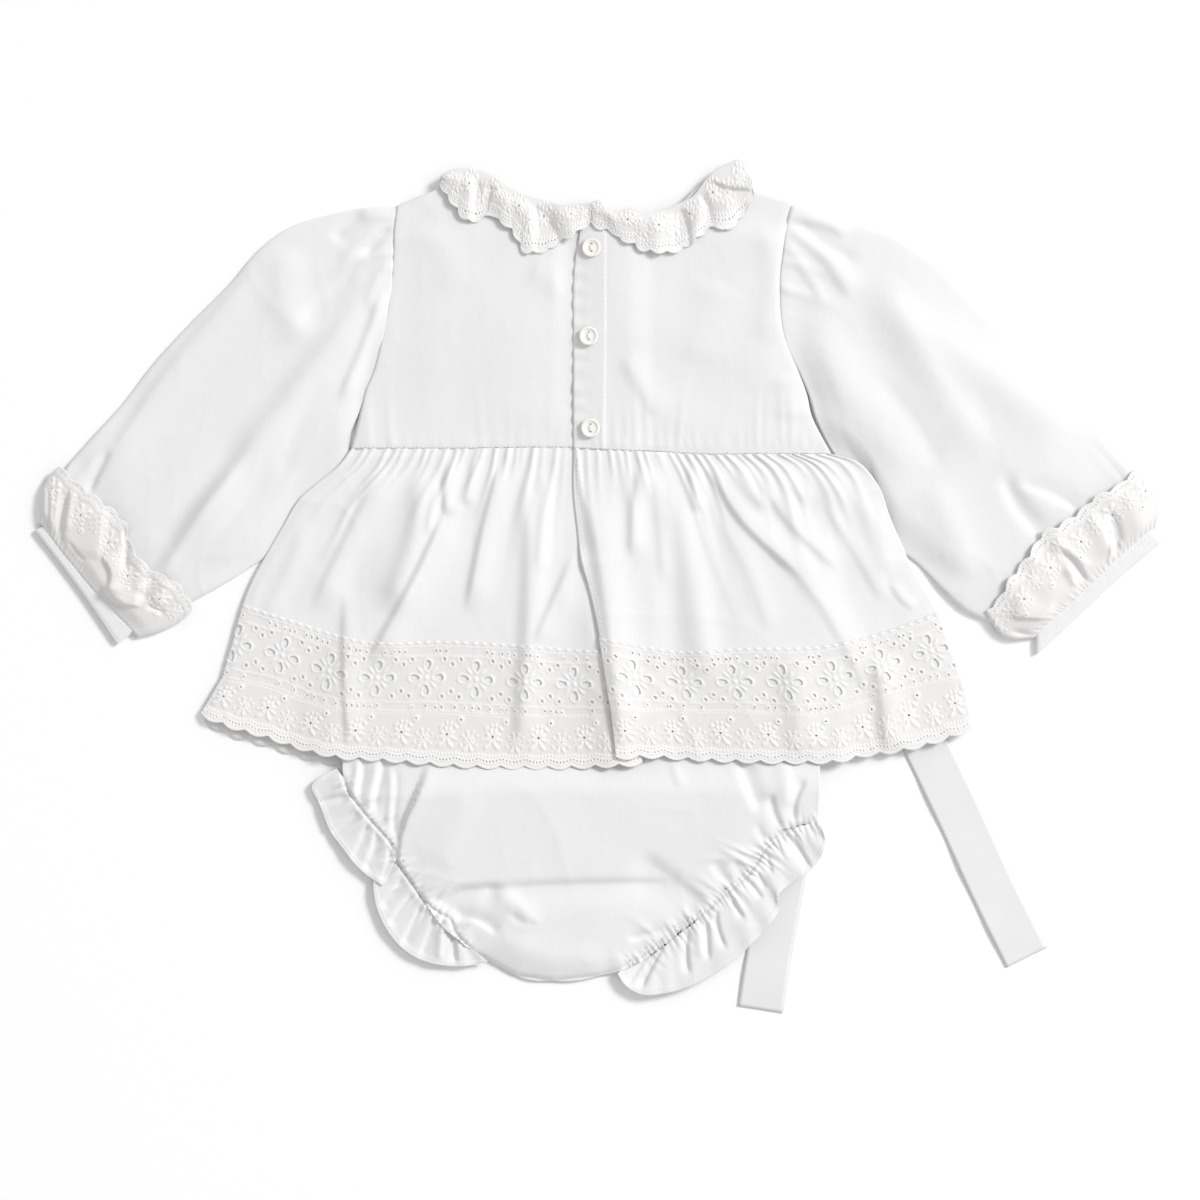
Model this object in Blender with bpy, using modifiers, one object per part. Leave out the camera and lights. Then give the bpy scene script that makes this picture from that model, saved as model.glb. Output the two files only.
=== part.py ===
"""A baby's skirted blouse and bubble bloomers, laid flat on a table with the back up.

The tables hold real sizes in millimetres. X runs to the wearer's right, Y to the neck and
Z up, with the table at Z = 0. Every cloth piece is a wall of even thickness: a panel is a
patch between its four edges, raised to the height of what lies under it, and a sleeve,
cuff or cuff frill is a flattened tube. Folds are rows of a table, gathers are formulas.
"""

import bmesh
import bpy
import numpy as np

MM = 0.001
GARMENT, CUTTERS = "baby_blouse_and_bloomers", "cutters"

# Driving sizes
WALL = 1.2  # a cloth wall
CLEAR = 0.4  # room between a piece and what it lies on
SEAM = 0.4  # room between two pieces that are sewn edge to edge
LAYER = WALL + CLEAR  # what one layer of cloth adds to the height
RIBBON_WIDTH = 25.0
RIBBON_WALL = 1.0
RIBBON_WAVES = 7  # in the length of a whole tail
RIBBON_WAVE_RISE = 1.6
RIBBON_FLAT_LEFT = 0.88  # share of the left tail that is held flat under the cloth
RIBBON_FLAT_RIGHT = 0.57
BUTTON_RADIUS = 5.4
BUTTON_HEIGHT = 2.2
BUTTON_HOLE_RADIUS = 0.9
BUTTON_HOLE_APART = 3.4
BUTTON_PLACES = ((-4.5, 186.5), (-6, 138), (-5, 87.5))  # x, y
HEM_SCALLOP = 13.2  # pitch of the scallops along the skirt's hem
HEM_SCALLOP_DEPTH = 2.2
FOLD_EDGE = 2.5  # from a flattened tube's folded edge to where its faces are flat
CUFF_RISE = 1.4  # between the two faces of a cuff
FRILL_PAST_SLEEVE = 3.5  # a cuff frill's tube is this much wider than the sleeve, on each side
FRILL_UNDER = 0.45  # how far its lower face goes under the sleeve, as a share of the upper
FRILL_WAVES = 5  # round the upper half of a cuff frill
FRILL_WAVE_RISE = 1.8
FRILL_CLEAR_OF_SLEEVE = 3.0  # between the sleeve's upper face and the frill's, at the seam
COLLAR_WAVES_LEFT = 8
COLLAR_WAVES_RIGHT = 9
COLLAR_WAVE_RISE = 2.6
COLLAR_LIFT = 0.6  # of the collar's free edge
BODICE_GATHER_PITCH = 11.0
BODICE_GATHER_RISE = 0.7
WAIST_Y = 75.0
SKIRT_GATHERS = 20  # along the waist of one skirt panel
SKIRT_GATHER_RISE = 1.5
SKIRT_GATHER_REACH = 20.0  # how far below the waist a gather has died to a third
SLEEVE_PUFF = 2.2
SLEEVE_GATHERS = 5
SLEEVE_GATHERED = 0.17  # share of the sleeve's width, beside the shoulder, that is gathered
SLEEVE_GATHER_RISE = 0.9
SLEEVE_INTO_CUFF = (0.84, 0.9)  # shares of a sleeve's length where it climbs onto the frill
SLEEVE_FOLDS_DIE = (0.78, 0.86)  # and where its folds and its puff die before the frill
BLOOMERS_PUFF = 3.2
LEG_FRILL_RISE = 2.2

# Outlines, each row a point: x, y
SHOULDER_AND_NECK_LEFT = (
    (-111.5, 209.5), (-84, 220.5), (-73.5, 223.5), (-60, 222), (-42, 215.5), (-20.5, 209.5),
    (-2.5, 206.5), (11.5, 206.5),
)
NECK_AND_SHOULDER_RIGHT = (
    (2.5, 206.5), (22.5, 206), (34, 205.5), (42.5, 209.5), (58, 222), (68.5, 222.5), (86.5, 217),
    (106.5, 211),
)
ARMHOLE_LEFT = (
    (-111.5, 209.5), (-113, 197.5), (-113.5, 183), (-114.5, 168.5), (-116.5, 155.5), (-120, 136),
    (-124.5, 118), (-128.5, 108.5), (-131.5, 96.5), (-136.5, 76),
)
ARMHOLE_RIGHT = (
    (106.5, 211), (103, 198.5), (100.5, 183), (99, 170), (99, 160), (99.5, 150), (101, 140),
    (104, 130.5), (109.5, 118), (114, 106), (116.5, 94.5), (122, 83), (127.5, 73),
)
SLEEVE_HEAD_LEFT = (
    (-111.5, 209.5), (-113, 197.5), (-113.5, 183), (-114.5, 168.5), (-116.5, 155.5), (-120, 136),
    (-124.5, 119.5), (-130.5, 108.5), (-136, 96.5), (-139.5, 84.5), (-138.5, 75.5),
)
SLEEVE_HEAD_RIGHT = (
    (106.5, 211), (103, 198.5), (100.5, 183), (99, 170), (99, 160), (99.5, 150), (101, 140),
    (106, 130.5), (113, 119.5), (118, 106), (121.5, 93), (125.5, 81), (129.5, 72.5),
)
WAIST_LEFT = ((-136.5, 76), (-76.5, 76), (-13.5, 76.5), (11.5, 76))
WAIST_RIGHT = ((-14.5, 76.5), (11.5, 75), (35.5, 74), (55.5, 73), (92.5, 73), (127.5, 73))
CENTRE_EDGE_BODICE = ((-12, 206.5), (-11, 196), (-13.5, 180), (-14.5, 130.5), (-14.5, 76.5))
PLACKET_STITCH = ((2.5, 206.5), (2.5, 140), (2, 75.5))
CENTRE_EDGE_SKIRT = (
    (-14.5, 76.5), (-14.5, 52.5), (-12.5, 34), (-10, 14.5), (-6.5, 1.5), (-2.5, -15.5), (-0.5, -28),
)
UNDER_EDGE_SKIRT = ((11.5, 76), (15, 20), (18, -34.5))
SIDE_LEFT = (
    (-136.5, 76), (-142.5, 68), (-155, 57.5), (-165.5, 48), (-174, 34), (-182.5, 19.5), (-190, 6),
    (-196, -9.5),
)
SIDE_RIGHT = (
    (127.5, 73), (142.5, 68.5), (153, 56.5), (160, 38), (167, 21.5), (173.5, 7), (181, -5),
    (185.5, -14),
)
BAND_TOP_LEFT = (
    (-196, -9.5), (-167, -19), (-146.5, -25.5), (-133, -29), (-83, -29.5), (-40.5, -32),
    (-10, -34.5), (18, -34.5),
)
BAND_TOP_RIGHT = (
    (-0.5, -28), (10.5, -29.5), (25, -32.5), (40.5, -35), (77.5, -33.5), (127, -31.5), (140, -29),
    (168.5, -20.5), (185.5, -14),
)
BAND_FOOT_LEFT = (
    (-208, -51.5), (-179.5, -57), (-161.5, -64), (-146, -68.5), (-125, -69.5), (-83, -70.5),
    (-46, -72.5), (22.5, -72.5),
)
BAND_FOOT_RIGHT = (
    (6, -68.5), (40.5, -69.5), (77.5, -70), (127, -70.5), (157.5, -61), (179, -54.5), (199, -51.5),
)
HEM_LEFT = (
    (-219, -69), (-206, -74.5), (-179, -82.5), (-166, -87), (-152.5, -90.5), (-141.5, -92.5),
    (-124.5, -93.5), (-103.5, -95), (-79, -97), (-45, -98), (-20, -98), (23.5, -96),
)
HEM_RIGHT = (
    (9, -93), (21.5, -92), (54, -93.5), (111, -95), (130, -94.5), (145, -91.5), (160.5, -89.5),
    (177.5, -86), (190.5, -82), (204.5, -77),
)
HEM_FRONT = (
    (-217, -73.5), (-206, -79), (-179, -87), (-166, -91.5), (-152.5, -95), (-141.5, -96.5),
    (-124.5, -97), (-79, -98), (20, -97), (111, -93), (145, -88.5), (177.5, -83), (203.5, -75),
)
SHOULDER_AND_NECK_FRONT = (
    (-90, 218), (-73, 221), (-58, 200), (-35, 184), (0, 178), (35, 184), (56, 200), (68, 221),
    (88, 216),
)
NECK_FRONT = ((-73, 220), (-58, 200), (-35, 184), (0, 178), (35, 184), (56, 200), (68, 220))
COLLAR_FRONT_FREE = (
    (-88, 212), (-78, 186), (-50, 163), (0, 154), (50, 163), (77, 186), (86, 212),
)
COLLAR_NECK_LEFT = (
    (-87, 226), (-82, 229), (-74, 230), (-60, 227), (-48, 219), (-30, 212.5), (-20.5, 210),
    (-13.5, 210.5), (-6.5, 211.5),
)
COLLAR_FREE_LEFT = (
    (-87.5, 223.5), (-83.5, 216), (-78, 208.5), (-73.5, 202.5), (-69.5, 201.5), (-65.5, 203),
    (-58.5, 205), (-54.5, 201.5), (-48, 197), (-44.5, 191.5), (-40.5, 184.5), (-35.5, 184.5),
    (-27, 186.5), (-21.5, 191), (-15, 193.5), (-10.5, 197.5), (-7, 200.5),
)
COLLAR_NECK_RIGHT = (
    (-4.5, 211.5), (0.5, 212.5), (3.5, 208.5), (8, 207), (17, 208), (26.5, 206), (33.5, 206.5),
    (41.5, 210), (50, 214), (58.5, 224), (63.5, 229), (72, 233.5), (75.5, 235), (80, 233),
    (83.5, 225),
)
COLLAR_FREE_RIGHT = (
    (-4.5, 200.5), (0.5, 197.5), (7, 196), (12.5, 191), (18.5, 189.5), (23, 186), (29, 185),
    (36, 184.5), (44.5, 186), (50, 189.5), (55.5, 194), (59, 197), (63.5, 199), (69, 196.5),
    (73.5, 199.5), (78.5, 205), (81.5, 210.5), (84, 218.5),
)
SLEEVE_OUTER_LEFT = (
    (-111.5, 209.5), (-132.5, 208.5), (-146.5, 205.5), (-174, 196), (-184.5, 188),
    (-203.5, 166.5), (-224.5, 145.5), (-245.5, 122.5), (-262.5, 100.5), (-280, 81), (-293, 65.5),
    (-300, 52), (-305, 34),
)
SLEEVE_INNER_LEFT = (
    (-138.5, 75.5), (-144.5, 67.5), (-157, 57), (-167.5, 47.5), (-176, 33.5), (-184.5, 19),
    (-195, 9), (-214, -2.5), (-226.5, -9), (-241, -16), (-255.5, -24),
)
SLEEVE_OUTER_RIGHT = (
    (106.5, 211), (135, 202.5), (164.5, 192), (183.5, 179), (200, 162.5), (232, 131),
    (250.5, 114), (266.5, 100.5), (282.5, 82.5), (294, 66), (301, 50), (303, 32),
)
SLEEVE_INNER_RIGHT = (
    (129.5, 72.5), (144.5, 69), (155.5, 57.5), (162, 39), (169, 22.5), (177, 12), (189, -1.5),
    (202, -13), (215, -18.5), (228, -22), (240.5, -25),
)
CUFF_SEAM_LEFT = ((-305, 34), (-294, 19), (-277, -1.5), (-255.5, -24))
CUFF_SEAM_RIGHT = ((303, 32), (286.5, 17.5), (267, -1.5), (240.5, -25))
CUFF_HAND_LEFT = ((-310.5, 31.5), (-296.5, 13.5), (-281.5, -7), (-265, -31.5))
CUFF_HAND_RIGHT = ((310, 26), (287, 7), (264.5, -14), (240, -37))
FRILL_FREE_LEFT = (
    (-298.5, 67), (-292, 61), (-279.5, 50.5), (-269, 42.5), (-261.5, 35), (-257.5, 22.5),
    (-250, 12), (-242.5, 7), (-234, 2.5), (-227, -6), (-223.5, -14.5),
)
FRILL_OUTER_LEFT = ((-308.5, 38), (-306, 54), (-298.5, 67))
FRILL_INNER_LEFT = ((-253.5, -28), (-241.5, -24), (-223.5, -14.5))
FRILL_FREE_RIGHT = (
    (298.5, 66), (290.5, 60), (285.5, 55.5), (272.5, 48.5), (263, 40), (251.5, 32.5),
    (244.5, 29.5), (240, 22.5), (232, 11.5), (225, 2.5), (220.5, -6), (211.5, -15),
)
FRILL_OUTER_RIGHT = ((307, 36), (308, 44), (306, 52), (298.5, 66))
FRILL_INNER_RIGHT = ((236, -31.5), (224, -28), (211.5, -15))
BLOOMERS_WAIST = ((-100, -2.5), (0, -4), (100.5, -2.5))
BLOOMERS_SIDE_LEFT = (
    (-100, -2.5), (-126, -34.5), (-140, -67.5), (-144.5, -97.5), (-141, -111.5), (-125, -129),
    (-112.5, -145.5), (-106, -162), (-95.5, -173.5), (-82, -180.5),
)
BLOOMERS_SEAT = (
    (-82, -180.5), (-68.5, -195.5), (-54.5, -208), (-46, -214), (-25.5, -216), (0.5, -212),
    (20, -202), (35, -191),
)
BLOOMERS_SIDE_RIGHT = (
    (100.5, -2.5), (117, -34.5), (121.5, -67.5), (120, -97.5), (110.5, -129), (94, -141.5),
    (77.5, -153), (58, -173.5), (35, -191),
)

# Leg frills, each row a place along the leg seam: seam x, y, free edge x, y
LEG_FRILL_HIP = (
    (-145.5, -99.5, -153, -99.5), (-142, -112, -157.5, -107.5), (-126, -129.5, -149.5, -129.5),
    (-118, -140, -139, -144), (-113.5, -146, -123.5, -158), (-111, -153, -117, -160.5),
)
LEG_FRILL_SEAT = (
    (-108.5, -159, -124, -165), (-106.5, -165, -121, -175), (-96, -174.5, -113, -187),
    (-82.5, -182, -101, -201), (-76, -189, -87.5, -207.5), (-69, -196.5, -74, -208.5),
    (-62, -203, -62, -206.5),
)
LEG_FRILL_RIGHT = (
    (121.5, -112, 124.5, -113), (118.5, -122, 124, -144), (111, -130, 114.5, -155),
    (94.5, -142.5, 110.5, -163.5), (78, -154, 96.5, -183), (68, -164, 78.5, -199),
    (58.5, -174.5, 63.5, -210.5), (46, -184, 46.5, -218), (35.5, -192, 30.5, -223),
    (13, -209, 16, -222.5),
)
BLOOMERS_MIDDLE = (-10, -110)  # x, y
DRAWN_IN = 0.97  # the front of the bloomers, as a share of the back, about that middle
HIDDEN_FRILL = 0.6  # the front half of a leg frill, as a share of the back half's width

# Ribbon tails, each row a point of the middle line: x, y
RIBBON_LEFT = (
    (104, 50.5), (107, 0), (108, -50), (108.5, -100), (101.5, -156), (93.5, -200), (88.5, -232),
)
RIBBON_RIGHT = (
    (130.5, 50.5), (137, 10), (154, -35), (180, -88), (198, -125.5), (216, -165), (235, -203.5),
)
RIBBON_KNOT = (117, 59, 50, 15)  # middle x, y, length, width

# Where one layer climbs onto another, each a distance where it starts and where it ends
OVER_RIBBON = (44, 8)  # out from a ribbon's edge
OVER_KNOT = 18  # half the length of the line that stands for the knot
OVER_FRONT_COLLAR = (96, 148)  # up the front, y
OVER_FRONT_HEM = (-121, -106)  # up the bloomers, y
OVER_BLOOMERS = (24, 7)  # out from a side of the bloomers
OVER_BLOOMERS_WAIST = (34, 10)  # down from above their waist, y
UNDER_CENTRE_EDGE = (1, -15)  # from the right back's free edge, where the left back's folds die
OVER_LEFT_PLACKET = (31, 15)  # across the right bodice back, x
OVER_LEFT_SKIRT = (44, 28)  # across the right skirt back, x
LEG_SEAM_SHARE = 0.12  # share of the bloomers' width that climbs from a leg seam to the puff

# Folds, each row a ridge of cloth: start x, y, middle x, y, end x, y, height, width of the
# flank on the left and of the flank on the right
SKIRT_FOLDS = (
    (-114, 73, -127, 48, -158, -15, 2.2, 4, 10),
    (-95, 68, -101, 26, -116, -16, 2.8, 7, 8),
    (-76, 73, -82, 50, -84, 36, 2.0, 3, 6),
    (-76, 40, -98, 6, -128, -60, 3.4, 4, 14),
    (-57, 70, -65, 40, -76, -40, 2.4, 4, 9),
    (-40, 66, -39, 10, -45, -100, 3.4, 12, 7),
    (-13, 24, -27, -6, -38, -32, 1.2, 9, 3),
    (-6, 64, 3, 0, 15, -96, 2.8, 5, 12),
    (25, 72, 20, 48, 18, 14, 1.8, 3, 7),
    (36, 68, 46, 30, 60, -60, 2.6, 9, 9),
    (50, 72, 52, 56, 55, 40, 1.6, 3, 4),
    (58, 72, 88, 35, 148, -66, 4.2, 4, 12),
    (74, 72, 81, 56, 94, 42, 1.8, 4, 6),
    (77, 70, 106, 36, 150, -2, 2.6, 5, 7),
    (101, 72, 105, 58, 118, 46, 2.0, 4, 6),
    (110, 62, 146, 42, 160, 0, 2.4, 9, 6),
    (104, -30, 108, -60, 112, -96, 2.0, 8, 12),
    (152, -34, 156, -60, 160, -92, 2.6, 5, 10),
)
BODICE_FOLDS = (
    (-104, 200, -90, 190, -76, 160, 0.8, 9, 9),
    (-40, 176, -25, 168, -16, 160, 0.9, 7, 7),
    (12, 130, 22, 112, 34, 92, 1.2, 4, 9),
    (52, 120, 56, 140, 66, 170, 1.0, 12, 14),
    (88, 206, 96, 180, 92, 130, 1.4, 8, 10),
    (100, 120, 104, 104, 106, 90, 1.2, 7, 8),
)
SLEEVE_FOLDS_LEFT = (
    (-116, 158, -152, 100, -222, 14, 2.4, 14, 10),
    (-180, 184, -236, 116, -276, 58, 1.5, 5, 12),
    (-114, 186, -134, 176, -160, 150, 1.2, 6, 10),
    (-115, 162, -120, 138, -128, 112, 1.4, 5, 4),
    (-196, 66, -222, 38, -250, 14, 1.2, 6, 8),
)
SLEEVE_FOLDS_RIGHT = (
    (106, 194, 124, 184, 146, 162, 2.0, 5, 8),
    (110, 204, 136, 200, 170, 186, 1.0, 5, 6),
    (150, 160, 208, 120, 268, 80, 1.8, 12, 12),
    (112, 150, 150, 90, 176, 60, 1.6, 10, 12),
    (224, 64, 246, 52, 266, 44, 2.2, 5, 8),
    (180, 60, 196, 26, 204, 2, 1.4, 9, 9),
)
BLOOMERS_FOLDS = (
    (-96, -98, -108, -135, -104, -160, 1.4, 4, 14),
    (-80, -165, 0, -164, 50, -172, 0.8, 7, 9),
    (34, -150, 54, -168, 66, -178, 0.9, 6, 6),
    (90, -100, 84, -118, 88, -130, 0.9, 4, 6),
)

CLOTH_WHITE = (0.86, 0.86, 0.87)


def curve(table, at):
    """Points of the smooth curve through a table's points, at fractions of its length."""
    points = np.array(table, float)
    steps = np.linalg.norm(np.diff(points, axis=0), axis=1)
    place = np.concatenate([[0], np.cumsum(steps)]) / steps.sum()
    slope = np.gradient(points, place, axis=0)
    i = np.clip(np.searchsorted(place, at, side="right") - 1, 0, len(place) - 2)
    span = (place[i + 1] - place[i])[:, None]
    f = (at - place[i])[:, None] / span
    return (
        points[i] * (1 + 2 * f) * (1 - f) ** 2
        + points[i + 1] * f**2 * (3 - 2 * f)
        + span * (slope[i] * f * (1 - f) ** 2 - slope[i + 1] * f**2 * (1 - f))
    )


def moved(table, x=0.0, y=0.0):
    """A table's points, moved."""
    return tuple((row[0] + x, row[1] + y) for row in table)


def lengthened(table, by):
    """A table's points with its two ends run on by a length."""
    points = np.array(table, float)
    for end, inner in ((0, 1), (-1, -2)):
        run = points[end] - points[inner]
        points[end] += by * run / np.linalg.norm(run)
    return tuple(map(tuple, points))


def patch(top, foot, left, right, across, down):
    """A grid of points between four edges: each pair of edges blended, less their corners."""
    t, b = curve(top, across)[None], curve(foot, across)[None]
    l, r = curve(left, down)[:, None], curve(right, down)[:, None]
    u, v = across[None, :, None], down[:, None, None]
    first, last = (1 - v) * t[:, :1] + v * b[:, :1], (1 - v) * t[:, -1:] + v * b[:, -1:]
    return (1 - v) * t + v * b + (1 - u) * l + u * r - (1 - u) * first - u * last


def ease(low, high, value):
    """0 at low and 1 at high, with level ends."""
    f = np.clip((value - low) / (high - low), 0, 1)
    return f * f * (3 - 2 * f)


def distance(table, x, y):
    """How far each point is from a line through a table's points, and on which side, and how
    far along it is from 0 to 1."""
    points = np.array(table, float)
    best = np.full(np.shape(x), np.inf)
    side, place = np.zeros(np.shape(x)), np.zeros(np.shape(x))
    runs = np.linalg.norm(np.diff(points, axis=0), axis=1)
    done = 0.0
    for (ax, ay), (bx, by), run in zip(points, points[1:], runs):
        dx, dy = (bx - ax) / run, (by - ay) / run
        t = np.clip((x - ax) * dx + (y - ay) * dy, 0, run)
        gap = np.hypot(x - ax - t * dx, y - ay - t * dy)
        nearer = gap < best
        best = np.where(nearer, gap, best)
        side = np.where(nearer, dx * (y - ay) - dy * (x - ax), side)
        place = np.where(nearer, (done + t) / runs.sum(), place)
        done += run
    return best, side, place


def folds(table, x, y):
    """The height of a table's ridges: a bell across each, wider on one flank, dying at its ends."""
    z = np.zeros(np.shape(x))
    for ax, ay, bx, by, cx, cy, height, left, right in table:
        line = curve(((ax, ay), (bx, by), (cx, cy)), np.linspace(0, 1, 9))
        gap, side, place = distance(line, x, y)
        on_left = side < 0 if ay > cy else side > 0
        width = np.where(on_left, left, right)
        z += height * np.exp(-((gap / width) ** 2)) * ease(0, 0.25, place) * ease(1, 0.8, place)
    return z


def over_ribbons(x, y):
    """What lies on the ribbon tails is raised by them, falling level beside them."""
    knot_x, knot_y = RIBBON_KNOT[:2]
    knot = ((knot_x - OVER_KNOT, knot_y), (knot_x + OVER_KNOT, knot_y))
    gap = np.minimum(distance(RIBBON_LEFT, x, y)[0], distance(RIBBON_RIGHT, x, y)[0])
    gap = np.minimum(gap, distance(knot, x, y)[0]) - RIBBON_WIDTH / 2
    return LAYER * ease(*OVER_RIBBON, gap)


def on_table(x, y, *_):
    return 0 * x


def front_base(x, y, *_):
    """The underside of the front: on the table, over the ribbons and over the front collar."""
    return np.maximum(over_ribbons(x, y), LAYER * ease(*OVER_FRONT_COLLAR, y))


def back_base(x, y):
    """The underside of the back where it lies on the front alone."""
    return front_base(x, y) + LAYER


def over_bloomers(x, y):
    """How much the back of the skirt is raised by the bloomers between it and the front."""
    heights = (-220, -97.5, -67.5, -34.5, -2.5)
    low = np.interp(y, heights, (-146, -145, -141, -128, -108))
    high = np.interp(y, heights, (126, 126, 126, 122, 108))
    from_left, from_right = ease(*OVER_BLOOMERS, low - x), ease(*OVER_BLOOMERS, x - high)
    return 2 * LAYER * from_left * from_right * ease(*OVER_BLOOMERS_WAIST, y)


def centre_edge(y):
    """Where the right back's free edge runs, over the left back."""
    return np.interp(y, (-93, -28, 1.5, 34, 52, 210), (9, -0.5, -6.5, -12.5, -14.5, -14.5))


def solid(name, bm, paint=CLOTH_WHITE, roughness=0.85, smooth=True):
    """An object from a mesh in millimetres, with its own material."""
    bmesh.ops.scale(bm, vec=(MM, MM, MM), verts=bm.verts)
    bmesh.ops.recalc_face_normals(bm, faces=bm.faces)
    mesh = bpy.data.meshes.new(name)
    bm.to_mesh(mesh)
    bm.free()
    if smooth:
        mesh.shade_smooth()
        mesh.set_sharp_from_angle(angle=np.radians(50))
    piece = bpy.data.objects.new(name, mesh)
    bpy.data.collections[GARMENT].objects.link(piece)
    finish(piece, paint, roughness)
    return piece


def finish(piece, paint, roughness):
    """Gives a piece its own material."""
    material = bpy.data.materials.new(piece.name)
    material.use_nodes = True
    shader = material.node_tree.nodes["Principled BSDF"]
    shader.inputs["Base Color"].default_value = (*paint, 1)
    shader.inputs["Roughness"].default_value = roughness
    piece.data.materials.append(material)


def wall(name, plan, under, thick=WALL, **look):
    """A panel: a grid moved to its plan and heights, then extruded up by the wall."""
    rows, columns = under.shape
    bm = bmesh.new()
    bmesh.ops.create_grid(bm, x_segments=columns - 1, y_segments=rows - 1, size=1)
    bm.verts.ensure_lookup_table()
    places = np.concatenate([plan, under[..., None]], axis=2).reshape(-1, 3)
    for vertex, place in zip(bm.verts, places):
        vertex.co = place
    raised = bmesh.ops.extrude_face_region(bm, geom=bm.faces[:], use_keep_orig=True)
    lifted = [part for part in raised["geom"] if isinstance(part, bmesh.types.BMVert)]
    bmesh.ops.translate(bm, vec=(0, 0, thick), verts=lifted)
    return solid(name, bm, **look)


def tube(name, outer, inner, **look):
    """A wall between an outer and an inner loft of rings, open at both ends."""
    stations, around = outer.shape[:2]
    bm = bmesh.new()
    skins = [[[bm.verts.new(p) for p in ring] for ring in skin] for skin in (outer, inner)]
    for skin in skins:
        for first, second in zip(skin, skin[1:]):
            for i in range(around):
                j = (i + 1) % around
                bm.faces.new((first[i], first[j], second[j], second[i]))
    for end in (0, stations - 1):
        for i in range(around):
            j = (i + 1) % around
            bm.faces.new((skins[0][end][i], skins[0][end][j], skins[1][end][j], skins[1][end][i]))
    return solid(name, bm, **look)


def flat_tube(name, edges, stations, across, low, high, reach_under=1.0):
    """A tube pressed flat. edges are its start, end and two folded edges; low and high give
    the heights of its lower and upper faces; reach_under is how far the lower face goes."""
    start, end, first, second = edges
    widths = np.linalg.norm(curve(first, stations) - curve(second, stations), axis=1)[:, None]
    rim = FOLD_EDGE / widths
    inset = WALL / widths
    upper = across[None] * (1 - 2 * rim) + rim
    lower = upper[:, ::-2]
    none, full = np.zeros_like(rim), np.ones_like(rim)
    around = np.concatenate([none, upper, full, lower], axis=1)
    face = np.concatenate([[0], np.ones(upper.shape[1]), [0], -np.ones(lower.shape[1])])[None]
    reach = np.where(face < 0, reach_under, np.where(face == 0, (1 + reach_under) / 2, 1.0))
    skins = []
    for depth in (0, 1):
        w = np.clip(around, depth * inset, 1 - depth * inset)
        v = stations[:, None] * reach
        plan = blend_at(start, end, first, second, w, v)
        x, y = plan[..., 0], plan[..., 1]
        floor, roof = low(w, v, x, y) + depth * WALL, high(w, v, x, y) - depth * WALL
        z = np.where(face > 0, roof, np.where(face < 0, floor, (floor + roof) / 2))
        skins.append(np.concatenate([plan, z[..., None]], axis=2))
    return tube(name, skins[0], skins[1])


def blend_at(top, foot, left, right, u, v):
    """The patch between four edges, at points that don't lie on a regular grid."""
    shape = (*u.shape, 2)
    t, b = curve(top, u.ravel()).reshape(shape), curve(foot, u.ravel()).reshape(shape)
    l, r = curve(left, v.ravel()).reshape(shape), curve(right, v.ravel()).reshape(shape)
    u, v = u[..., None], v[..., None]
    ends = np.array((0.0, 1.0))
    (tl, tr), (bl, br) = curve(top, ends), curve(foot, ends)
    corners = (1 - u) * ((1 - v) * tl + v * bl) + u * ((1 - v) * tr + v * br)
    return (1 - v) * t + v * b + (1 - u) * l + u * r - corners


def shares(count, early=()):
    """Even fractions from 0 to 1, or some early ones and then even ones."""
    if not early:
        return np.linspace(0, 1, count + 1)
    return np.concatenate([early, np.linspace(early[-1], 1, count + 1)[1:]])


def strip(top, foot):
    """The four edges of a piece with straight ends: top, foot, left, right."""
    return top, foot, (top[0], foot[0]), (top[-1], foot[-1])


def joined(top, foot, left, right):
    """The four edges of a piece, with the ends of its sides moved onto its top and foot."""
    return top, foot, (top[0], *left[1:-1], foot[0]), (top[-1], *right[1:-1], foot[-1])


def panel(name, edges, across, down, height):
    """A flat piece between its edges, with its underside at the height given for each point."""
    plan = patch(*edges, across, down)
    u, v = np.meshgrid(across, down)
    return wall(name, plan, height(plan[..., 0], plan[..., 1], u, v))


def scalloped(table, pitch, depth, steps):
    """Fractions and a smooth curve's points with round scallops hung from it."""
    points = np.array(table, float)
    length = np.linalg.norm(np.diff(points, axis=0), axis=1).sum()
    waves = round(length / pitch)
    at = np.linspace(0, 1, waves * steps + 1)
    line = curve(table, at)
    along = np.gradient(line, axis=0)
    along /= np.linalg.norm(along, axis=1)[:, None]
    outward = np.stack([along[:, 1], -along[:, 0]], axis=1)
    return at, line + outward * (depth * np.abs(np.sin(np.pi * waves * at)))[:, None]


def hem_lace(name, top, foot, height, steps=3):
    """A strip of edging lace with scallops along its free edge."""
    at, edge = scalloped(foot, HEM_SCALLOP, HEM_SCALLOP_DEPTH, steps)
    upper, lower = curve(top, at), curve(foot, at)
    down = (0.0, 0.6, 1.0)
    plan = np.stack([upper, upper + (lower - upper) * down[1], edge])
    u, v = np.meshgrid(at, down)
    return wall(name, plan, height(plan[..., 0], plan[..., 1], u, v))


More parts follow.
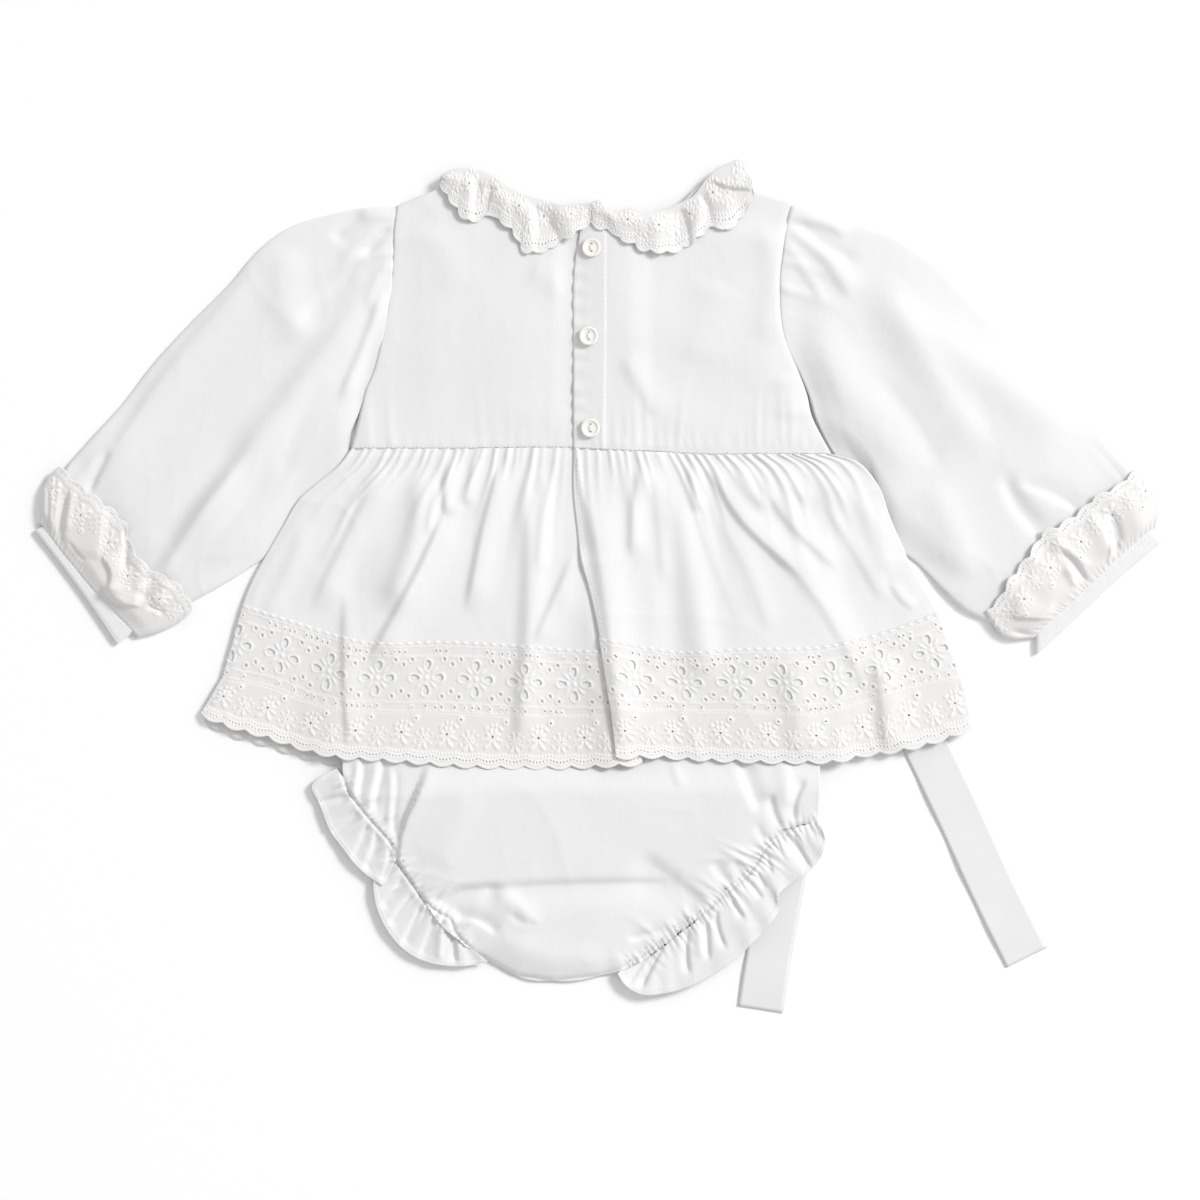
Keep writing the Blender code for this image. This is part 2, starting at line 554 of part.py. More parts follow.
def make_front():
    """The front of the blouse, under everything: bodice, skirt, two laces and collar."""
    left, right = moved(ARMHOLE_LEFT, SEAM), moved(ARMHOLE_RIGHT, -SEAM)
    shoulders = (left[0], *SHOULDER_AND_NECK_FRONT, right[0])
    waist = (left[-1], (0, 75.5), right[-1])
    panel("bodice_front", (shoulders, waist, left, right), shares(14), shares(9), front_base)
    band_top = BAND_TOP_LEFT[:-2] + BAND_TOP_RIGHT[4:]
    band_foot = BAND_FOOT_LEFT[:-2] + BAND_FOOT_RIGHT[2:]
    skirt = joined(moved(waist, 0, -SEAM), moved(band_top, 0, SEAM), SIDE_LEFT, SIDE_RIGHT)
    panel("skirt_front", skirt, shares(22), shares(8), front_base)
    band = strip(moved(band_top, 0, -SEAM), moved(band_foot, 0, SEAM))
    panel("lace_band_front", band, shares(22), shares(2), front_base)
    hem_lace("hem_lace_front", moved(band_foot, 0, -SEAM), HEM_FRONT, front_base, 2)
    collar = strip(NECK_FRONT, COLLAR_FRONT_FREE)
    panel("collar_frill_front", collar, shares(20), shares(1), on_table)


def bodice_height(x, y):
    """The bodice back: on the front, with small gathers rising to the waist."""
    gathers = BODICE_GATHER_RISE * np.sin(2 * np.pi * x / BODICE_GATHER_PITCH) * ease(100, 79, y)
    ridges = np.clip(folds(BODICE_FOLDS, x, y) + gathers, 0, None)
    return back_base(x, y) + ridges * ease(205, 190, y)


def make_bodice_back():
    """Left and right backs of the bodice, and the placket along the right one's free edge."""
    left, right = moved(ARMHOLE_LEFT, SEAM), moved(ARMHOLE_RIGHT, -SEAM)

    def under_placket(x, y, *_):
        flat = back_base(x, y)
        return flat + (bodice_height(x, y) - flat) * ease(-16, -26, x)

    def over_placket(x, y, *_):
        return bodice_height(x, y) + LAYER * ease(*OVER_LEFT_PLACKET, x)

    def on_left_back(x, y, *_):
        return back_base(x, y) + LAYER

    top, foot = (left[0], *SHOULDER_AND_NECK_LEFT[1:]), (left[-1], *WAIST_LEFT[1:])
    edges = (top, foot, left, (top[-1], foot[-1]))
    panel("bodice_back_left", edges, shares(18), shares(9), under_placket)
    top = (*NECK_AND_SHOULDER_RIGHT[:-1], right[0])
    foot = (PLACKET_STITCH[-1], *WAIST_RIGHT[2:-1], right[-1])
    panel("bodice_back_right", (top, foot, PLACKET_STITCH, right), shares(16), shares(10), over_placket)
    top, foot, _, _ = strip(CENTRE_EDGE_BODICE, moved(PLACKET_STITCH, -SEAM))
    edges = ((top[0], foot[0]), (top[-1], foot[-1]), top, foot)
    panel("button_placket", edges, shares(3), shares(12), on_left_back)


def skirt_height(x, y, right, gathers=0.0):
    """The skirt back and its laces: on the bloomers, with folds. The left one's die where it
    goes under the right one, which lies on it."""
    lying = back_base(x, y) + over_bloomers(x, y)
    ridges = folds(SKIRT_FOLDS, x, y) * ease(WAIST_Y, WAIST_Y - 17, y) + gathers
    if right:
        return lying + ridges + LAYER * ease(*OVER_LEFT_SKIRT, x)
    return lying + ridges * ease(*UNDER_CENTRE_EDGE, x - centre_edge(y))


def waist_gathers(y):
    """Every other line down a skirt panel is raised, less and less below the waist."""
    raised = np.arange(y.shape[1]) % 2
    return SKIRT_GATHER_RISE * np.exp(-(((WAIST_Y - y) / SKIRT_GATHER_REACH) ** 2)) * raised


def make_skirt_back():
    """Left and right backs of the skirt, each with its eyelet band and its hem lace."""
    across, down = shares(2 * SKIRT_GATHERS), shares(6, (0, 0.06, 0.16))
    sides = (
        ("left", WAIST_LEFT, BAND_TOP_LEFT, SIDE_LEFT, UNDER_EDGE_SKIRT, BAND_FOOT_LEFT, HEM_LEFT),
        ("right", WAIST_RIGHT, BAND_TOP_RIGHT, CENTRE_EDGE_SKIRT, SIDE_RIGHT, BAND_FOOT_RIGHT, HEM_RIGHT),
    )
    for side, waist, band_top, first, second, band_foot, hem in sides:

        def gathered(x, y, *_):
            return skirt_height(x, y, side == "right", waist_gathers(y))

        def lying(x, y, *_):
            return skirt_height(x, y, side == "right")

        edges = joined(moved(waist, 0, -SEAM), moved(band_top, 0, SEAM / 2), first, second)
        panel(f"skirt_back_{side}", edges, across, down, gathered)
        band = strip(moved(band_top, 0, -SEAM / 2), moved(band_foot, 0, SEAM / 2))
        panel(f"lace_band_{side}", band, shares(26), shares(2), lying)
        hem_lace(f"hem_lace_{side}", moved(band_foot, 0, -SEAM / 2), hem, lying)


def make_collar():
    """The collar's two back halves: a lace frill that waves as it lies on the shoulders."""
    rows = (
        ("left", COLLAR_NECK_LEFT, COLLAR_FREE_LEFT, COLLAR_WAVES_LEFT, (-30, -20)),
        ("right", COLLAR_NECK_RIGHT, COLLAR_FREE_RIGHT, COLLAR_WAVES_RIGHT, (40, 27)),
    )
    for side, neck, free, waves, onto_placket in rows:

        def waving(x, y, u, v):
            on = back_base(x, y) + LAYER + LAYER * ease(*onto_placket, x)
            wave = 0.5 + 0.5 * np.sin(2 * np.pi * waves * u)
            return on + v * (COLLAR_WAVE_RISE * wave + COLLAR_LIFT)

        panel(f"collar_frill_{side}", strip(neck, free), shares(4 * waves), shares(3), waving)


def make_sleeves():
    """Two bishop sleeves, each gathered into the armhole beside the shoulder."""
    rows = (
        ("left", SLEEVE_HEAD_LEFT, CUFF_SEAM_LEFT, SLEEVE_OUTER_LEFT, SLEEVE_INNER_LEFT,
         SLEEVE_FOLDS_LEFT, -SEAM),
        ("right", SLEEVE_HEAD_RIGHT, CUFF_SEAM_RIGHT, SLEEVE_OUTER_RIGHT, SLEEVE_INNER_RIGHT,
         SLEEVE_FOLDS_RIGHT, SEAM),
    )
    gathered = np.linspace(0, SLEEVE_GATHERED, 2 * SLEEVE_GATHERS + 1)
    across = shares(8, tuple(gathered))
    stations = np.concatenate([(0, 0.04), np.linspace(0.1, 0.84, 10), (0.91, 1)])
    for side, head, seam, outer, inner, ridges, apart in rows:
        edges = joined(moved(head, apart), seam, moved(outer, apart), moved(inner, apart))

        def low(w, v, x, y):
            return LAYER * ease(*SLEEVE_INTO_CUFF, v)

        def high(w, v, x, y):
            puff = SLEEVE_PUFF * (1 - (2 * w - 1) ** 4) * ease(0.92, 0.78, v)
            ripple = np.sin(np.pi * SLEEVE_GATHERS * np.clip(w / SLEEVE_GATHERED, 0, 1)) ** 2
            gathers = SLEEVE_GATHER_RISE * ease(0.12, 0, v) * ripple
            ridge = (folds(ridges, x, y) + gathers) * ease(*SLEEVE_FOLDS_DIE[::-1], v)
            return low(w, v, x, y) + 2 * WALL + 0.6 + puff + ridge

        flat_tube(f"sleeve_{side}", edges, stations, across, low, high)


def make_cuffs():
    """Each cuff is a narrow band, with a lace frill turned back over the sleeve's end."""
    rows = (
        ("left", CUFF_SEAM_LEFT, CUFF_HAND_LEFT, FRILL_FREE_LEFT, FRILL_OUTER_LEFT, FRILL_INNER_LEFT, -1),
        ("right", CUFF_SEAM_RIGHT, CUFF_HAND_RIGHT, FRILL_FREE_RIGHT, FRILL_OUTER_RIGHT,
         FRILL_INNER_RIGHT, 1),
    )

    def on_table_there(w, v, x, y):
        return 0 * x

    def cuff_top(w, v, x, y):
        return 0 * x + 2 * WALL + CUFF_RISE

    def frill_top(w, v, x, y):
        wave = 0.5 + 0.5 * np.sin(2 * np.pi * FRILL_WAVES * w)
        ripple = FRILL_WAVE_RISE * wave * v * ease(0, 0.1, w) * ease(1, 0.9, w)
        return 3 * WALL + FRILL_CLEAR_OF_SLEEVE + 0.8 * v + ripple

    for side, sewn, hand, free, outer, inner, hand_side in rows:
        band = strip(moved(sewn, hand_side * SEAM, -SEAM), hand)
        flat_tube(f"cuff_{side}", band, shares(2), shares(8), on_table_there, cuff_top)
        wider = moved(lengthened(sewn, FRILL_PAST_SLEEVE), -hand_side * SEAM, SEAM)
        frill = joined(wider, free, outer, inner)
        flat_tube(f"cuff_frill_{side}", frill, shares(3), shares(22), on_table_there, frill_top,
                  reach_under=FRILL_UNDER)


def bloomers_front_height(x, y, *_):
    """The front of the bloomers: on the table, and then on the skirt's front."""
    return over_ribbons(x, y) + LAYER * ease(*OVER_FRONT_HEM, y)


def bloomers_back_height(x, y, u, v):
    """The back of the bloomers: flat inside the skirt, then puffed between the leg seams."""
    inside = ease(0, LEG_SEAM_SHARE, u) * ease(1, 1 - LEG_SEAM_SHARE, u) * ease(1, 0.86, v)
    puff = BLOOMERS_PUFF * inside + folds(BLOOMERS_FOLDS, x, y) * ease(0, 0.05, u)
    return bloomers_front_height(x, y) + LAYER + puff * ease(-104, -124, y)


def make_bloomers():
    """Front and back of the bloomers, the front drawn in so that the back hides it."""
    edges = (BLOOMERS_WAIST, BLOOMERS_SEAT, BLOOMERS_SIDE_LEFT, BLOOMERS_SIDE_RIGHT)
    down = shares(4, (0, 0.14, 0.3, 0.42, 0.5, 0.58, 0.66, 0.74))
    panel("bloomers_back", edges, shares(24), down, bloomers_back_height)
    x, y = BLOOMERS_MIDDLE
    inner = [tuple((x + (a - x) * DRAWN_IN, y + (b - y) * DRAWN_IN) for a, b in edge) for edge in edges]
    panel("bloomers_front", inner, shares(16), shares(16), bloomers_front_height)


def make_leg_frills():
    """The ruffles of the leg openings: two lengths beside the left leg and one by the right
    that show, and a hidden one under each leg."""
    shown = (
        ("leg_frill_left_hip", LEG_FRILL_HIP, 5),
        ("leg_frill_left_seat", LEG_FRILL_SEAT, 5),
        ("leg_frill_right", LEG_FRILL_RIGHT, 10),
    )
    for name, rows, waves in shown:
        rows = np.array(rows, float)

        def waving(x, y, u, v):
            wave = 0.5 - 0.5 * np.cos(2 * np.pi * waves * u)
            return over_ribbons(x, y) + LAYER + v * LEG_FRILL_RISE * wave * ease(-101, -106, y)

        panel(name, strip(rows[:, :2], rows[:, 2:]), shares(4 * waves), shares(2), waving)
    hidden = (
        ("leg_frill_left_front", LEG_FRILL_HIP[1:] + LEG_FRILL_SEAT),
        ("leg_frill_right_front", LEG_FRILL_RIGHT[1:]),
    )
    for name, rows in hidden:
        rows = np.array(rows, float)
        seam, free = rows[:, :2], rows[:, 2:]
        edges = strip(seam, seam + (free - seam) * HIDDEN_FRILL)
        panel(name, edges, shares(12), shares(1), lambda x, y, *_: over_ribbons(x, y))


def make_ribbon_tail(name, route, flat):
    """A satin tail along its middle line, level up to a share of its length and waving after."""
    at = shares(24)
    line = curve(route, at)
    along = np.gradient(line, axis=0)
    along /= np.linalg.norm(along, axis=1)[:, None]
    side = np.stack([-along[:, 1], along[:, 0]], axis=1) * RIBBON_WIDTH / 2
    across = np.linspace(-1, 1, 4)[None, :, None]
    wave = 0.5 - 0.5 * np.cos(2 * np.pi * RIBBON_WAVES * (at - flat))
    under = RIBBON_WAVE_RISE * wave * ease(flat, flat + 0.04, at)
    wall(name, line[:, None] + side[:, None] * across, np.tile(under[:, None], 4), RIBBON_WALL)


def make_ribbon_knot():
    """The knot that holds the tails, pressed flat: a slab with round corners."""
    x, y, length, width = RIBBON_KNOT
    bm = bmesh.new()
    bmesh.ops.create_cube(bm, size=1)
    bmesh.ops.scale(bm, vec=(length, width, RIBBON_WALL), verts=bm.verts)
    bmesh.ops.translate(bm, vec=(x, y, RIBBON_WALL / 2), verts=bm.verts)
    upright = [edge for edge in bm.edges if abs(edge.verts[0].co.z - edge.verts[1].co.z) > RIBBON_WALL / 2]
    bmesh.ops.bevel(bm, geom=upright, offset=width / 3, segments=4, affect="EDGES", profile=0.5)
    solid("ribbon_knot", bm)


def make_buttons():
    """Three round buttons with a raised rim, a dished face and two holes."""
    profile = (
        (0, 0.62), (0.6, 0.62), (0.74, 1), (0.92, 1), (1, 0.4), (0.86, 0), (0, 0),
    )  # each row a point: share of the radius, share of the height
    for number, (x, y) in enumerate(BUTTON_PLACES, 1):
        base = float(back_base(np.array(x), np.array(y))) + LAYER + WALL + SEAM
        name = f"button_{number}"
        mesh = bpy.data.meshes.new(name)
        points = [(r * BUTTON_RADIUS * MM, 0, z * BUTTON_HEIGHT * MM) for r, z in profile]
        mesh.from_pydata(points, [(i, i + 1) for i in range(len(points) - 1)], [])
        button = bpy.data.objects.new(name, mesh)
        bpy.data.collections[GARMENT].objects.link(button)
        finish(button, CLOTH_WHITE, 0.3)
        button.location = (x * MM, y * MM, base * MM)
        turn = button.modifiers.new("turn", "SCREW")
        turn.steps = turn.render_steps = 16
        turn.use_merge_vertices = True
        turn.merge_threshold = 0.00001
        for sign in (-1, 1):
            drill = make_drill(f"drill_{number}_{'lower' if sign < 0 else 'upper'}")
            drill.location = (x * MM, (y + sign * BUTTON_HOLE_APART / 2) * MM, base * MM)
            cut = button.modifiers.new("hole", "BOOLEAN")
            cut.operation, cut.object = "DIFFERENCE", drill


def make_drill(name):
    """A cutter for one hole of a button."""
    bm = bmesh.new()
    bmesh.ops.create_cone(bm, cap_ends=True, segments=8, radius1=BUTTON_HOLE_RADIUS * MM,
                          radius2=BUTTON_HOLE_RADIUS * MM, depth=4 * BUTTON_HEIGHT * MM)
    mesh = bpy.data.meshes.new(name)
    bm.to_mesh(mesh)
    bm.free()
    drill = bpy.data.objects.new(name, mesh)
    bpy.data.collections[CUTTERS].objects.link(drill)
    drill.hide_render, drill.display_type = True, "WIRE"
    return drill


def main():
    for thing in list(bpy.data.objects):
        bpy.data.objects.remove(thing)
    for name in (GARMENT, CUTTERS):
        bpy.context.scene.collection.children.link(bpy.data.collections.new(name))
    make_ribbon_tail("ribbon_tail_left", RIBBON_LEFT, RIBBON_FLAT_LEFT)
    make_ribbon_tail("ribbon_tail_right", RIBBON_RIGHT, RIBBON_FLAT_RIGHT)
    make_ribbon_knot()
    make_front()
    make_bloomers()
    make_leg_frills()
    make_bodice_back()
    make_skirt_back()
    make_collar()
    make_sleeves()
    make_cuffs()
    make_buttons()


main()
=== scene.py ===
"""Looks of a baby's skirted blouse and bubble bloomers, laid flat on a table with the back up.

Tables and formulas are in millimetres: X to the wearer's right, Y to the neck, Z up from the
table. Each cloth piece is a thin sheet over a grid of two parameters, u across and v down.
"""

import bpy
import numpy as np
from bpy.props import FloatProperty, FloatVectorProperty, PointerProperty
from bpy.types import Operator, Panel, PropertyGroup
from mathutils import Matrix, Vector


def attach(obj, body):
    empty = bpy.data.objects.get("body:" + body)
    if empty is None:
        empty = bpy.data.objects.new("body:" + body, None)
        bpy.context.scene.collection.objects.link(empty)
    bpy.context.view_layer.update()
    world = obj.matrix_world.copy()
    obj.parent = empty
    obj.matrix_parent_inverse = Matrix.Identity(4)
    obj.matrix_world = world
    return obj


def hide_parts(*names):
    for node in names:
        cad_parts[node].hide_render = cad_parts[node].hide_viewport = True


bl_info = {
    "name": "Baby Blouse and Bloomers",
    "version": (1, 0, 0),
    "blender": (4, 5, 0),
    "location": "3D View > Sidebar > Baby Clothes",
    "description": "Lays out a gathered blouse with eyelet lace over bubble bloomers",
    "category": "Object",
}

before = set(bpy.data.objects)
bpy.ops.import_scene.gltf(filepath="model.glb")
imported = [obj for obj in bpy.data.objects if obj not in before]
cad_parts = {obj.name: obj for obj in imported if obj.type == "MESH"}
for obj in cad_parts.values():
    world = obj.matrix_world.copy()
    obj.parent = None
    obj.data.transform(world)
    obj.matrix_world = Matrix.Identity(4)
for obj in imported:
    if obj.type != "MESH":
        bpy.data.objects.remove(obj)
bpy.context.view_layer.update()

MM = 0.001

# The outfit's driving sizes, in mm
WALL = 1.2
CLEAR = 0.4
SEAM = 0.4
LAYER = WALL + CLEAR
RIBBON_WIDTH = 25.0
RIBBON_WAVES = 7
RIBBON_WAVE_RISE = 0.5
BUTTON_RADIUS = 5.4
BUTTON_HEIGHT = 2.2
BUTTON_DISH = 0.62  # how high the middle of its face is, out of that height
BUTTON_WALL = 0.8
BUTTON_HOLE_RADIUS = 0.65
BUTTON_HOLE_APART = 3.6
BUTTON_PLACES = ((-4.5, 186.5), (-6, 138), (-5, 87.5))
RIBBON_THICKNESS = 0.25
HEM_SCALLOP = 13.2
HEM_SCALLOP_DEPTH = 2.2
COLLAR_SCALLOP = 10.5
COLLAR_SCALLOP_DEPTH = 1.7
FRILL_FULLNESS = 1.12  # cloth to each mm of a lace frill's free edge
CUFF_SCALLOP = 12.8
CUFF_SCALLOP_DEPTH = 2.5
CUFF_FRILL_DEPTH = 46.0
FRILL_PAST_SLEEVE = 3.5
FRILL_UNDER = 0.45
FOLD_EDGE = 2.5
WAIST_Y = 75.0
LADDER_PITCH = 3.3
LADDER_TOP = 5.9  # from the band's top to the middle of its first ladder
LADDER_FOOT = 4.6  # from its foot to that of its second
STITCH_PITCH = 2.4
LEG_PLEAT_RISE = 1.9
HIDDEN_RISE = 0.55  # of a hidden sheet's face above what it lies on
BAND_RISE = 0.42  # of the eyelet band above the skirt
HEM_LACE_RISE = 0.62  # of the hem lace, which starts over the band's foot
SKIRT_CRUMPLE = 91  # seed of the crumple that the skirt and its laces share

# Lights and camera, in metres
KEY_LIGHT_AT = (1.08, 0.68, 1.0)
SIDE_LIGHT_AT = (0.7, 0.3, 0.5)
SIDE_LIGHT_AIM = (0.2, 0, 0)
CAMERA_OVER = (0.0003, -0.0069)

# Outlines, each row a point: x, y
SHOULDER_AND_NECK_LEFT = (
    (-111.5, 209.5), (-84, 220.5), (-73.5, 223.5), (-60, 222), (-42, 215.5), (-20.5, 209.5),
    (-2.5, 206.5), (11.5, 206.5),
)
NECK_AND_SHOULDER_RIGHT = (
    (2.5, 206.5), (22.5, 206), (34, 205.5), (42.5, 209.5), (58, 222), (68.5, 222.5), (86.5, 217),
    (106.5, 211),
)
ARMHOLE_LEFT = (
    (-111.5, 209.5), (-113, 197.5), (-113.5, 183), (-114.5, 168.5), (-116.5, 155.5), (-120, 136),
    (-124.5, 118), (-128.5, 108.5), (-131.5, 96.5), (-136.5, 76),
)
ARMHOLE_RIGHT = (
    (106.5, 211), (103, 198.5), (100.5, 183), (99, 170), (99, 160), (99.5, 150), (101, 140),
    (104, 130.5), (109.5, 118), (114, 106), (116.5, 94.5), (122, 83), (127.5, 73),
)
SLEEVE_HEAD_LEFT = (
    *ARMHOLE_LEFT[:6], (-124.5, 118.5), (-129.5, 108), (-133, 96.5), (-137.5, 84.5),
    (-138.5, 75.5),
)
SLEEVE_HEAD_RIGHT = (
    *ARMHOLE_RIGHT[:7], (104.2, 130.5), (110, 119.5), (115, 106), (118.8, 93), (124.4, 81),
    (129.5, 72.5),
)
WAIST_LEFT = ((-136.5, 76), (-76.5, 76), (-13.5, 76.5), (11.5, 76))
WAIST_RIGHT = ((-14.5, 76.5), (11.5, 75), (35.5, 74), (55.5, 73), (92.5, 73), (127.5, 73))
CENTRE_EDGE_BODICE = ((-12, 206.5), (-11, 196), (-13.5, 180), (-14.5, 130.5), (-14.5, 76.5))
PLACKET_STITCH = ((2.5, 206.5), (2.5, 140), (2, 75.5))
CENTRE_EDGE_SKIRT = (
    (-14.5, 76.5), (-14.5, 52.5), (-12.5, 34), (-10, 14.5), (-6.5, 1.5), (-2.5, -15.5),
    (-0.5, -28),
)
UNDER_EDGE_SKIRT = ((11.5, 76), (15, 20), (18, -34.5))
SIDE_LEFT = (
    (-136.5, 76), (-142.5, 68), (-155, 57.5), (-165.5, 48), (-174, 34), (-182.5, 19.5), (-190, 6),
    (-196, -9.5),
)
SIDE_RIGHT = (
    (127.5, 73), (142.5, 68.5), (153, 56.5), (160, 38), (167, 21.5), (173.5, 7), (181, -5),
    (185.5, -14),
)
BAND_TOP_LEFT = (
    (-196, -9.5), (-167, -19), (-146.5, -25.5), (-133, -29), (-83, -29.5), (-40.5, -32),
    (-10, -34.5), (18, -34.5),
)
BAND_TOP_RIGHT = (
    (-0.5, -28), (10.5, -29.5), (25, -32.5), (40.5, -35), (77.5, -33.5), (127, -31.5), (140, -29),
    (168.5, -20.5), (185.5, -14),
)
BAND_FOOT_LEFT = (
    (-208, -51.5), (-179.5, -57), (-161.5, -64), (-146, -68.5), (-125, -69.5), (-83, -70.5),
    (-46, -72.5), (22.5, -72.5),
)
BAND_FOOT_RIGHT = (
    (6, -68.5), (40.5, -69.5), (77.5, -70), (127, -70.5), (157.5, -61), (179, -54.5), (199, -51.5),
)
HEM_LEFT = (
    (-219, -69), (-206, -74.5), (-179, -82.5), (-166, -87), (-152.5, -90.5), (-141.5, -92.5),
    (-124.5, -93.5), (-103.5, -95), (-79, -97), (-45, -98), (-20, -98), (23.5, -96),
)
HEM_RIGHT = (
    (9, -93), (21.5, -92), (54, -93.5), (111, -95), (130, -94.5), (145, -91.5), (160.5, -89.5),
    (177.5, -86), (190.5, -82), (204.5, -77),
)
HEM_FRONT = (
    (-217, -73.5), (-206, -79), (-179, -87), (-166, -91.5), (-152.5, -95), (-141.5, -96.5),
    (-124.5, -97), (-79, -98), (20, -97), (111, -93), (145, -88.5), (177.5, -83), (203.5, -75),
)
SHOULDER_AND_NECK_FRONT = (
    (-90, 218), (-73, 221), (-58, 200), (-35, 184), (0, 178), (35, 184), (56, 200), (68, 221),
    (88, 216),
)
NECK_FRONT = ((-73, 220), (-58, 200), (-35, 184), (0, 178), (35, 184), (56, 200), (68, 220))
COLLAR_FRONT_FREE = (
    (-88, 212), (-78, 186), (-50, 163), (0, 154), (50, 163), (77, 186), (86, 212),
)
COLLAR_NECK_LEFT = (
    (-87, 226), (-82, 229), (-74, 230), (-60, 227), (-48, 219), (-30, 212.5), (-20.5, 210),
    (-13.5, 210.5), (-4.6, 211.5),
)
COLLAR_FREE_LEFT = (
    (-87.5, 223.5), (-83.5, 216), (-78, 208.5), (-73.5, 202.5), (-69.5, 201.5), (-65.5, 203),
    (-58.5, 205), (-54.5, 201.5), (-48, 197), (-44.5, 191.5), (-40.5, 184.5), (-35.5, 184.5),
    (-27, 186.5), (-21.5, 191), (-15, 193.5), (-10.5, 197.5), (-4.8, 200.3),
)
COLLAR_NECK_RIGHT = (
    (-4.5, 211.5), (0.5, 212.5), (3.5, 208.5), (8, 207), (17, 208), (26.5, 206), (33.5, 206.5),
    (41.5, 210), (50, 214), (58.5, 224), (63.5, 229), (72, 233.5), (75.5, 235), (80, 233),
    (83.5, 225),
)
COLLAR_FREE_RIGHT = (
    (-4.5, 200.5), (0.5, 197.5), (7, 196), (12.5, 191), (18.5, 189.5), (23, 186), (29, 185),
    (36, 184.5), (44.5, 186), (50, 189.5), (55.5, 194), (59, 197), (63.5, 199), (69, 196.5),
    (73.5, 199.5), (78.5, 205), (81.5, 210.5), (84, 218.5),
)
SLEEVE_OUTER_LEFT = (
    (-111.5, 209.5), (-132.5, 208.5), (-146.5, 205.5), (-174, 196), (-184.5, 188),
    (-203.5, 166.5), (-224.5, 145.5), (-245.5, 122.5), (-262.5, 100.5), (-280, 81), (-293, 65.5),
    (-300, 52), (-305, 34),
)
SLEEVE_INNER_LEFT = (
    (-138.5, 75.5), (-144.5, 67.5), (-157, 57), (-167.5, 47.5), (-176, 33.5), (-184.5, 19),
    (-195, 9), (-214, -2.5), (-226.5, -9), (-241, -16), (-255.5, -24),
)
SLEEVE_OUTER_RIGHT = (
    (106.5, 211), (135, 202.5), (164.5, 192), (183.5, 179), (200, 162.5), (232, 131),
    (250.5, 114), (266.5, 100.5), (282.5, 82.5), (294, 66), (301, 50), (303, 32),
)
SLEEVE_INNER_RIGHT = (
    (129.5, 72.5), (144.5, 69), (155.5, 57.5), (162, 39), (169, 22.5), (177, 12), (189, -1.5),
    (202, -13), (215, -18.5), (228, -22), (240.5, -25),
)
CUFF_SEAM_LEFT = ((-305, 34), (-294, 19), (-277, -1.5), (-255.5, -24))
CUFF_SEAM_RIGHT = ((303, 32), (286.5, 17.5), (267, -1.5), (240.5, -25))
CUFF_HAND_LEFT = ((-310.5, 31.5), (-296.5, 13.5), (-281.5, -7), (-265, -31.5))
CUFF_HAND_RIGHT = ((310, 26), (287, 7), (264.5, -14), (240, -37))
FRILL_FREE_LEFT = (
    (-298.5, 67), (-292, 61), (-279.5, 50.5), (-269, 42.5), (-261.5, 35), (-257.5, 22.5),
    (-250, 12), (-242.5, 7), (-234, 2.5), (-227, -6), (-223.5, -14.5),
)
FRILL_OUTER_LEFT = ((-308.5, 38), (-306, 54), (-298.5, 67))
FRILL_INNER_LEFT = ((-253.5, -28), (-241.5, -24), (-223.5, -14.5))
FRILL_FREE_RIGHT = (
    (298.5, 66), (290.5, 60), (285.5, 55.5), (272.5, 48.5), (263, 40), (251.5, 32.5),
    (244.5, 29.5), (240, 22.5), (232, 11.5), (225, 2.5), (220.5, -6), (211.5, -15),
)
FRILL_OUTER_RIGHT = ((307, 36), (308, 44), (306, 52), (298.5, 66))
FRILL_INNER_RIGHT = ((236, -31.5), (224, -28), (211.5, -15))
BLOOMERS_WAIST = ((-100, -2.5), (0, -4), (100.5, -2.5))
BLOOMERS_SIDE_LEFT = (
    (-100, -2.5), (-126, -34.5), (-139, -67.5), (-141, -90), (-140, -107), (-134.5, -117),
    (-127, -126.5), (-120, -134.5), (-114.5, -141), (-110.5, -151), (-105.5, -159),
    (-100.5, -166.5), (-93.5, -175), (-82, -181.5),
)
BLOOMERS_SEAT = (
    (-82, -181.5), (-79, -191), (-70, -199.5), (-58, -207), (-46, -213.5), (-25.5, -216.5),
    (0.5, -213.5), (20, -207), (31, -199.5), (34.7, -192.4),
)
BLOOMERS_MIDDLE = (-10, -110)
DRAWN_IN = 0.97
HIDDEN_FRILL = 0.6

# Leg frills, each row a place along the leg seam: seam x, y, free edge x, y
LEG_FRILL_HIP = (
    (-141.5, -103, -144.5, -99.3), (-140, -107, -152.6, -103.5), (-138.3, -110.5, -158.2, -108.8),
    (-134.5, -117, -154.3, -118), (-127, -126.5, -149, -132), (-120, -134.5, -140, -145),
    (-114.5, -141, -130, -156.5), (-111.2, -149, -119.2, -163.8),
)
LEG_FRILL_SEAT = (
    (-111.3, -149.5, -124.5, -160), (-108.6, -154, -124, -168), (-105.5, -159, -122.5, -176),
    (-100.5, -166.5, -118, -186.5), (-94, -174.6, -110, -197), (-87.5, -179.5, -99, -204.5),
    (-82.5, -182, -86, -207.8), (-79.5, -189, -74, -208), (-71, -198, -61, -205.6),
)
LEG_FRILL_RIGHT = (
    (120, -127, 121.5, -130.5), (116, -129, 124.3, -139), (108, -131.2, 122, -147),
    (101, -136, 115.4, -155.3), (94.5, -139.8, 106, -162), (90, -145, 98.6, -168.5),
    (86, -151.5, 98.5, -177), (81, -158, 92.5, -186), (74.4, -163.5, 84, -195),
    (66.4, -170, 75, -204), (58.5, -177.8, 63.5, -212), (49.2, -183.4, 50, -219),
    (41.3, -188.6, 36, -223), (34.7, -192.8, 22, -223.4), (26, -200, 14, -218.5),
    (14, -208.5, 9.8, -212),
)
